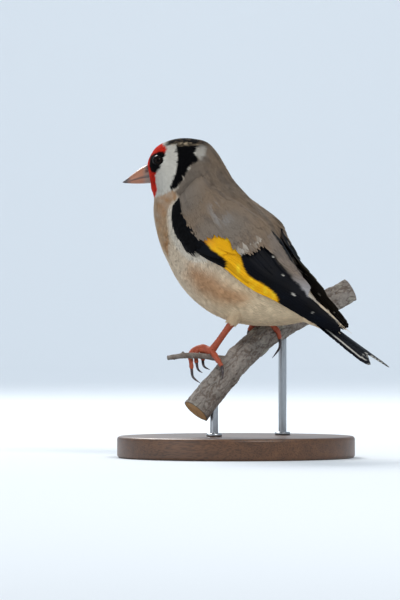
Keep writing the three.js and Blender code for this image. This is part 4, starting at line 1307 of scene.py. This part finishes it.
def limb_surface(knots, radii):
    line, _ = smooth_line(knots, 80)
    _, right, up = frames_along(line)
    t = np.linspace(0, 1, 80)

    def at(values, a):
        return np.stack([np.interp(a, t, values[:, k]) for k in range(3)], -1)

    def surface(a, b, lift=0.0):
        radius = np.interp(a * (len(radii) - 1), np.arange(len(radii)), radii) + lift
        b = np.radians(b)[..., None]
        return at(line, a) + (at(right, a) * np.cos(b) + at(up, a) * np.sin(b)) * radius[..., None]
    return surface

def build_thighs():
    for word, (knots, radii) in THIGHS.items():
        points, sides, caps, _ = tube(knots, [r - 0.5 for r in radii], 40, 60)
        # The thigh skin is buff darkened by the skin's share, painted shade under its feathers.
        make_piece(f"thigh_skin_{word}", points, [sides, caps], soft_feather, (),
                   np.tile(BUFF_WHITE * SKIN_PAINTED_SHADE, (len(points), 1)),
                   np.full((len(points), 2), 0.9))
        surface = limb_surface(knots, radii)
        a, b = spread_roots(surface, (0.0, 0), (0.74, 360), lambda i, _: 0.6 - 0.2 * i, 7000)
        scatter = rng.uniform(0.75, 1.25, len(a))
        a, b, length, width, stand, turn = split_vanes(
            surface, a, b, (3.6 - 1.6 * a) * scatter, (1.1 - 0.5 * a) * scatter,
            rng.uniform(0.1, 0.5, len(a)), rng.normal(0, 0.12, len(a)))
        centres, ups, widths, _, _ = lay_feathers(surface, a, b, length, width, stand, turn, -0.5)
        points, faces, normals = vane_mesh(centres, ups, widths, fray=0.2)
        tone = mix(BUFF_WHITE[None], CINNAMON[None], 0.15 + 0.15 * noise(centres[:, 2], 2, 80))
        tone = tone * rng.uniform(0.94, 1.04, (len(a), 1))
        root = np.stack([0.85 + b / 3600, 0.85 + 0.1 * a], 1)
        colours, places = dress_vanes(tone, widths, root, [0.85, 0.97, 1.0, 1.0])
        make_piece(f"thigh_coat_{word}", points, faces, soft_feather, (),
                   colours, places, normals)

build_thighs()

# %% [markdown]
# The bill is a sharp cone in two halves that close on a thin dark line. Its base is pale
# and greyish pink, and the tip and the ridge of the upper half are darker horn.

# %% Bill
BILL_UPPER = np.array([[-32.0, 109.9, 104.25, 3.3], [-36.0, 107.95, 103.78, 2.6],
                       [-39.0, 105.9, 103.02, 1.8], [-42.0, 103.5, 102.18, 0.8],
                       [-43.8, 102.15, 101.84, 0.12]])
BILL_LOWER = np.array([[-32.0, 104.3, 101.8, 3.1], [-36.0, 103.85, 101.55, 2.35],
                       [-39.0, 103.1, 101.5, 1.6], [-42.0, 102.25, 101.65, 0.62],
                       [-43.4, 101.92, 101.75, 0.1]])
NOSTRIL = np.array([-35.3, 2.35, 106.7])
HORN_PALE, HORN_GREY, HORN_DARK = paint("#a0674a"), paint("#7d736b"), paint("#2f3136")

def bill_half(rows, arch):
    steps, across = 90, 48
    angle = np.radians(np.linspace(2, 178, across))
    row = rows_at(rows, np.linspace(0, len(rows) - 1, steps))
    x, top, bottom, wide = (row[:, k][:, None] for k in range(4))
    flat = bottom if arch > 0 else top
    y = wide * np.cos(angle)[None] * np.ones_like(x)
    groove = 1 - 0.035 * np.exp(-((np.abs(np.cos(angle)) - 0.93) / 0.05) ** 2)[None]
    z = flat + arch * (top - bottom) * np.sin(angle)[None] ** 0.92 * groove
    inner = flat + 0 * z
    points = np.concatenate([np.stack([x + 0 * z, y, z], -1),
                             np.stack([x + 0 * z, y, inner], -1)[:, ::-1]], axis=1)
    if arch > 0:
        for side in (-1, 1):
            gap = np.linalg.norm(points - NOSTRIL * [1, side, 1], axis=2)
            points[..., 1] -= side * 0.55 * np.exp(-(gap / 0.38) ** 2)
    local = points.reshape(-1, 3)
    tip = smooth(-40.4, -42.4, local[:, 0] + 0.3 * noise(local, 1, 50))
    base = smooth(-37.0, -34.5, local[:, 0])
    ridge = smooth(0.55, 0.1, np.abs(local[:, 1])) * (arch > 0)
    colour = mix(HORN_PALE[None], HORN_GREY[None], 0.8 * base)
    rim = np.tile(np.append(smooth(0.2, 0.05, np.sin(angle)), np.ones(across)), steps)
    colour = mix(colour, HORN_DARK[None], np.maximum.reduce([0.92 * tip, 0.4 * ridge, 0.6 * rim]))
    colour = colour * (1 + 0.06 * noise(local * [0.3, 1, 1], 0.5, 51))[:, None]
    return turned(*local.T), shell_faces(steps, across), colour

for bill_word, bill_rows, bill_arch in (("upper", BILL_UPPER, 1), ("lower", BILL_LOWER, -1)):
    bill_points, bill_faces, bill_colour = bill_half(bill_rows, bill_arch)
    make_piece(f"bill_horn_{bill_word}", bill_points, bill_faces, bill_horn,
               (f"bill_{bill_word}",), bill_colour)

# %% [markdown]
# Short stiff bristles grow forward round the base of the bill and hide the nostrils.

# %% Bristles at the base of the bill
def build_bristles():
    count = 170
    turn = rng.uniform(0, 2 * np.pi, count)
    reach = rng.uniform(0.9, 1.05, count)
    root = np.stack([np.full(count, -34.3) + rng.uniform(-0.3, 0.5, count),
                     2.75 * reach * np.cos(turn), 105.6 + 3.1 * reach * np.sin(turn)], 1)
    forward = np.stack([np.full(count, -1.0), 0.05 * np.cos(turn), 0.1 * np.sin(turn)], 1)
    forward += rng.normal(0, 0.14, (count, 3))
    length = rng.uniform(0.5, 1.3, count) * np.where(np.sin(turn) > -0.2, 1, 0.6)
    t = np.linspace(0, 1, 5)
    droop = np.array([0, 0, -1.0]) * (np.sin(turn) > 0)[:, None] * 0.35
    centres = (root[:, None] + unit(forward)[:, None] * (length[:, None] * t)[..., None]
               + droop[:, None] * (length[:, None] * t ** 2)[..., None])
    ups = np.stack([0 * turn, np.cos(turn), np.sin(turn)], 1)[:, None] + 0 * centres
    shape = np.array([1, 0.9, 0.7, 0.45, 0.15])
    centres = turned(centres[..., 0], centres[..., 1], centres[..., 2])
    widths = 0.14 * np.ones((count, 1)) * shape
    points, faces, normals = vane_mesh(centres, ups, widths, thick=0.03)
    tone = mix(DUSKY_BROWN[None], DARK_RED[None], rng.uniform(0, 0.9, count))
    root = np.stack([turn / 6.3, np.full(count, 0.01)], 1)
    colours, places = dress_vanes(tone, widths, root, np.ones(5))
    make_piece("bill_bristles", points, faces, soft_feather, (), colours,
               places, normals)

build_bristles()

# %% [markdown]
# The eye is a wet ball: very smooth, with only a thin clear coat, so it shows one small
# light and not the whole studio. The iris is dark brown and the pupil black. A thin lid,
# as matte and black as the short feathers round it, closes the gap to them.

# %% Eyes
EYE_X, EYE_Y, EYE_R = -30.5, 5.6, 2.2
LID_R, LID_WIDE, LID_HIGH, LID_WIRE, LID_OUT = 1.45, 1.08, 0.92, 0.25, 1.6
PUPIL_BLACK, IRIS_BROWN, LID_BLACK = paint("#020202"), paint("#140b07"), paint("#0b0a0b")

def eye_material():
    material, tree, shader = new_material("eye_wet_cornea", Roughness=0.07, IOR=1.34,
                                          Coat_Weight=0.04, Coat_Roughness=0.02)
    shader.inputs["Specular IOR Level"].default_value = 0.09
    own = add(tree, "ShaderNodeAttribute", attribute_name="Markings")
    tree.links.new(own.outputs["Color"], shader.inputs["Base Color"])
    return material

eye_cornea = eye_material()

def build_eyes():
    steps, sides = 64, 96
    polar = np.linspace(0.001, np.pi - 0.001, steps)[:, None]
    turn = np.linspace(0, 2 * np.pi, sides, endpoint=False)
    round_ = turn[None, :]
    for side, word in ((-1, "left"), (1, "right")):
        x = EYE_R * np.sin(polar) * np.cos(round_)
        z = EYE_R * np.sin(polar) * np.sin(round_)
        y = EYE_R * np.cos(polar) * np.ones_like(round_) * side
        bulge = 1 + 0.05 * np.exp(-(polar / 0.5) ** 2)
        local = np.stack([x, y * bulge, z], -1).reshape(-1, 3)
        points = turned(EYE_X + local[:, 0], side * EYE_Y + local[:, 1], EYE_Z + local[:, 2])
        from_axis = np.broadcast_to(polar, x.shape).ravel()
        iris = smooth(0.3, 0.34, from_axis) * smooth(0.75, 0.55, from_axis)
        make_piece(f"eye_ball_{word}", points, ring_faces(steps, sides), eye_cornea,
                   (f"eye_{word}",), mix(PUPIL_BLACK[None], IRIS_BROWN[None], iris))
        ring = np.stack([EYE_X + LID_R * LID_WIDE * np.cos(turn),
                         np.full(sides, side * (EYE_Y + LID_OUT)),
                         EYE_Z + LID_R * LID_HIGH * np.sin(turn)], 1)
        ring = turned(*np.vstack([ring, ring[:2]]).T)
        points, faces = join_tubes([tube(ring, [LID_WIRE, LID_WIRE], 14, 140,
                                         lambda p, s, t: 0.05 * noise(p, 0.3, 55))])
        make_piece(f"lid_{word}", points, faces, soft_feather, (),
                   np.tile(LID_BLACK, (len(points), 1)))

build_eyes()

# %% [markdown]
# Bark is broken into small plates by cracks that run mostly along the branch, with grey
# patches of lichen on the plates. It is quite matte. The shape carries the large plates
# and the material the fine grain. Freshly cut wood is paler and a little smoother.

# %% Bark and cut wood
BARK_GREY, BARK_BROWN, LICHEN = paint("#8a827a"), paint("#5b4c42"), paint("#a9ab98")
BARK_GRAIN_MM, WOOD_GRAIN_MM = 0.9, 0.3

def bark_material():
    material, tree, shader = new_material("bark_of_larch", Roughness=0.92)
    crumbs = grain_of(tree, BARK_GRAIN_MM, 6.0, Roughness=0.68)
    shade_markings(tree, shader, crumbs, {"From Min": 0.3, "From Max": 0.7,
                                          "To Min": 0.62, "To Max": 1.25})
    raise_texture(tree, shader, crumbs, 0.8, 0.15)
    return material

def cut_wood_material():
    material, tree, shader = new_material("cut_branch_wood", Roughness=0.8)
    own = add(tree, "ShaderNodeAttribute", attribute_name="Markings")
    tree.links.new(own.outputs["Color"], shader.inputs["Base Color"])
    raise_texture(tree, shader, grain_of(tree, WOOD_GRAIN_MM, 3.0), 0.3, 0.05)
    return material

bark, cut_wood = bark_material(), cut_wood_material()
print("perch materials:", bark.name, "and", cut_wood.name)

# %% [markdown]
# The branch is unrolled flat to lay out its plates, stretched along the grain, and knots
# swell it here and there. The same relief sets the colour: cracks are brown and dark,
# plates are grey and weathered.

# %% Bark of the branch
BARK_R = 4.8

def bark_relief(places, radius):
    """Plates and cracks on a branch unrolled flat, with the cracks along it."""
    angle, run = places.T
    flat = np.stack([np.cos(angle) * radius, np.sin(angle) * radius, run * 0.5], 1)
    flat = flat + 0.5 * np.stack([noise(flat, 1.5, s) for s in (73, 74, 75)], 1)
    plates = np.abs(layered_noise(flat, 1.5, 3, 60))
    return smooth(0.0, 0.2, plates) - 0.75 + 0.6 * layered_noise(flat * [1, 1, 2], 0.9, 3, 63)

def branch_swell(points, places, t):
    angle = places[:, 0]
    knots = np.maximum(0, np.sin(31 * t + angle)) ** 6
    plates = bark_relief(places, BARK_R) - 0.5
    return 0.22 * np.sin(5 * angle + 9 * t) + 0.35 * knots + 0.3 * plates

def build_branch():
    points, sides, caps, places = tube(BRANCH_LINE, BRANCH_R, 170, 430, branch_swell)
    relief = bark_relief(places, BARK_R)
    colour = mix(BARK_BROWN[None], BARK_GREY[None], 0.25 + 0.75 * smooth(-1.0, 0.4, relief))
    colour = mix(colour, BARK_BROWN[None], 0.35 * smooth(0.0, 0.7, layered_noise(points, 4, 3, 76)))
    patch = smooth(0.25, 0.6, layered_noise(points, 5, 3, 66)) * smooth(-0.3, 0.4, relief)
    colour = mix(colour, LICHEN[None], 0.6 * patch)
    colour = colour * (1 + 0.15 * noise(points, 3, 69))[:, None]
    make_piece("branch_bark", points, [sides, caps], bark, ("perch_branch",), colour)

build_branch()

# %% [markdown]
# A saw leaves the ends flat. Each is a disc just proud of the bark's end, with yearly rings
# about half a millimetre apart, dark toward the bark, and one drying crack from the pith,
# painted dark as the shade deep inside it.

# %% Cut ends of the branch
YEAR_MM, CRACK_TURN, CRACK_MM = 0.55, 2.2, 0.12
WOOD_PALE, WOOD_RING, WOOD_DARK = paint("#c9a677"), paint("#94683f"), paint("#3b2a1e")

def build_cuts():
    line, _ = smooth_line(BRANCH_LINE, 430)
    along, right, up = frames_along(line)
    rings, spokes = 60, 120
    for end, word, radius in ((0, "lower", 5.0), (-1, "upper", 4.3)):
        r = np.linspace(0.01, radius, rings)[:, None]
        a = np.linspace(0, 2 * np.pi, spokes, endpoint=False)[None, :]
        out = -along[0] if end == 0 else along[-1]
        off = np.abs(a - CRACK_TURN)
        crack = np.exp(-(np.minimum(off, 6.28 - off) * r / CRACK_MM) ** 2)
        years = r * 2 * np.pi / YEAR_MM
        rise = 0.12 + 0.03 * np.sin(years) - 0.25 * crack * smooth(4.5, 1, r)
        face = (line[end] + right[end] * (r * np.cos(a))[..., None]
                + up[end] * (r * np.sin(a))[..., None] + out * rise[..., None])
        points = face.reshape(-1, 3)
        faces = ring_faces(rings, spokes)
        faces = faces if end else faces[:, ::-1]
        growth = 0.5 + 0.5 * np.sin(years + 0.5 * noise(points, 2, 70).reshape(rise.shape))
        colour = mix(WOOD_PALE[None], WOOD_RING[None], (0.25 + 0.55 * growth ** 3).ravel())
        # The crack's dark is painted shade deep inside it; the dark edge toward the bark is the wood's
        # own colour.
        dark = np.maximum(crack, smooth(radius - 0.5, radius, r) * 0.8).ravel()
        colour = mix(colour, WOOD_DARK[None], 0.8 * dark)
        make_piece(f"branch_cut_{word}", points, faces, cut_wood, (), colour,
                   closed=False)

build_cuts()

# %% [markdown]
# The twig is thin and smooth, with a bud on one side and then another every few
# millimetres, each on a slight swelling.

# %% Twig
BUD_GAP = 3.4

def twig_swell(points, places, t):
    angle, run = places.T
    buds = np.maximum(0, np.cos(angle - 2.2 * np.floor(run / BUD_GAP))) ** 4
    bump = np.exp(-((np.mod(run, BUD_GAP) - BUD_GAP / 2) / 0.5) ** 2)
    return 0.65 * buds * bump + 0.12 * layered_noise(points, 0.8, 2, 71)

def build_twig():
    points, sides, caps, _ = tube(TWIG_LINE, TWIG_R, 40, 260, twig_swell)
    colour = mix(BARK_BROWN[None], BARK_GREY[None], 0.5 + 0.5 * layered_noise(points, 1.2, 3, 72))
    make_piece("twig_bark", points, [sides, caps], bark, ("perch_twig",), colour)

build_twig()

# %% [markdown]
# The stand is a turned walnut disc with an eased edge and two brushed steel rods. Oiled
# walnut has a low even shine, its grain runs straight across the disc with slow waves, and
# short dark pores break it. Brushed steel is bright, with fine lines that blur what it
# reflects.

# %% Walnut and steel
def walnut_material():
    material, tree, shader = new_material("walnut_oiled", Roughness=0.42, Coat_Weight=0.15,
                                          Coat_Roughness=0.35)
    place = add(tree, "ShaderNodeTexCoord")
    stretch = add(tree, "ShaderNodeMapping", {"Scale": (1.0, 9.0, 9.0)},
                  {"Vector": place.outputs["Object"]})
    bands = add(tree, "ShaderNodeTexNoise", {"Scale": 26.0, "Detail": 5.0, "Distortion": 0.6},
                {"Vector": stretch.outputs["Vector"]})
    fine = add(tree, "ShaderNodeTexNoise", {"Scale": 260.0, "Detail": 3.0},
               {"Vector": stretch.outputs["Vector"]})
    tone = add(tree, "ShaderNodeMix", {6: rgba("#3a2416"), 7: rgba("#7a5233")},
               {0: bands.outputs["Fac"]}, data_type="RGBA")
    pores = add(tree, "ShaderNodeMapRange", {"From Min": 0.35, "From Max": 0.55,
                "To Min": 0.55, "To Max": 1.0}, {"Value": fine.outputs["Fac"]})
    shade = add(tree, "ShaderNodeVectorMath", links={0: tone.outputs[2],
                "Scale": pores.outputs["Result"]}, operation="SCALE")
    tree.links.new(shade.outputs["Vector"], shader.inputs["Base Color"])
    raise_texture(tree, shader, fine.outputs["Fac"], 0.15, 0.05)
    return material

def steel_material():
    material, tree, shader = new_material("steel_brushed", Metallic=1.0, Roughness=0.32)
    place = add(tree, "ShaderNodeTexCoord")
    stretch = add(tree, "ShaderNodeMapping", {"Scale": (1.0, 1.0, 0.04)},
                  {"Vector": place.outputs["Object"]})
    lines = add(tree, "ShaderNodeTexNoise", {"Scale": 9000.0, "Detail": 2.0},
                {"Vector": stretch.outputs["Vector"]})
    tone = add(tree, "ShaderNodeMix", {6: rgba("#8d9195"), 7: rgba("#c8ccd0")},
               {0: lines.outputs["Fac"]}, data_type="RGBA")
    rough = add(tree, "ShaderNodeMapRange", {"To Min": 0.24, "To Max": 0.42},
                {"Value": lines.outputs["Fac"]})
    tree.links.new(tone.outputs[2], shader.inputs["Base Color"])
    tree.links.new(rough.outputs["Result"], shader.inputs["Roughness"])
    return material

walnut, steel = walnut_material(), steel_material()
print("stand materials:", walnut.name, "and", steel.name)

# %% [markdown]
# Both shapes come off a lathe, so each is one outline spun round an axis. A low collar
# hides the hole where a rod enters the wood, and the rods run up into the branch.

# %% Stand
BASE_R, BASE_HIGH, BASE_EASE, ROD_R = 44, 8, 1.2, 1.5
COLLAR = [(0.01, 8.0), (2.6, 8.0), (2.9, 8.25), (2.9, 8.9), (2.6, 9.2), (ROD_R, 9.25)]
# Each rod: where it stands on the base, and how high its top is.
RODS = {"a": (-2.8, -12, 20.8), "b": (9.6, 19, 44.6)}

def lathe(profile_line, spokes, centre=(0, 0)):
    line = np.array(profile_line, float)
    a = np.linspace(0, 2 * np.pi, spokes, endpoint=False)[None, :]
    r, z = line[:, :1], line[:, 1:]
    points = np.stack(np.broadcast_arrays(centre[0] + r * np.cos(a), centre[1] + r * np.sin(a), z),
                      -1).reshape(-1, 3)
    return points, ring_faces(len(line), spokes)

def build_stand():
    ease = np.radians(np.linspace(-90, 0, 10))
    low = [(BASE_R - BASE_EASE + BASE_EASE * math.cos(a), BASE_EASE + BASE_EASE * math.sin(a))
           for a in ease]
    high = [(r, BASE_HIGH - z) for r, z in reversed(low)]
    flat = [(r, 0.0) for r in np.linspace(0.01, BASE_R - BASE_EASE - 0.3, 12)]
    outline = flat + low + high + [(r, float(BASE_HIGH)) for r, _ in reversed(flat)]
    points, faces = lathe(outline, 192)
    make_piece("base_walnut", points, faces, walnut, ("stand_base",))
    for word, (x, y, top) in RODS.items():
        outline = COLLAR + [(ROD_R, z) for z in np.linspace(9.3, top, 30)] + [(0.01, top)]
        points, faces = lathe(outline, 64, (x, y))
        make_piece(f"rod_steel_{word}", points, faces, steel, (f"stand_rod_{word}",))

build_stand()
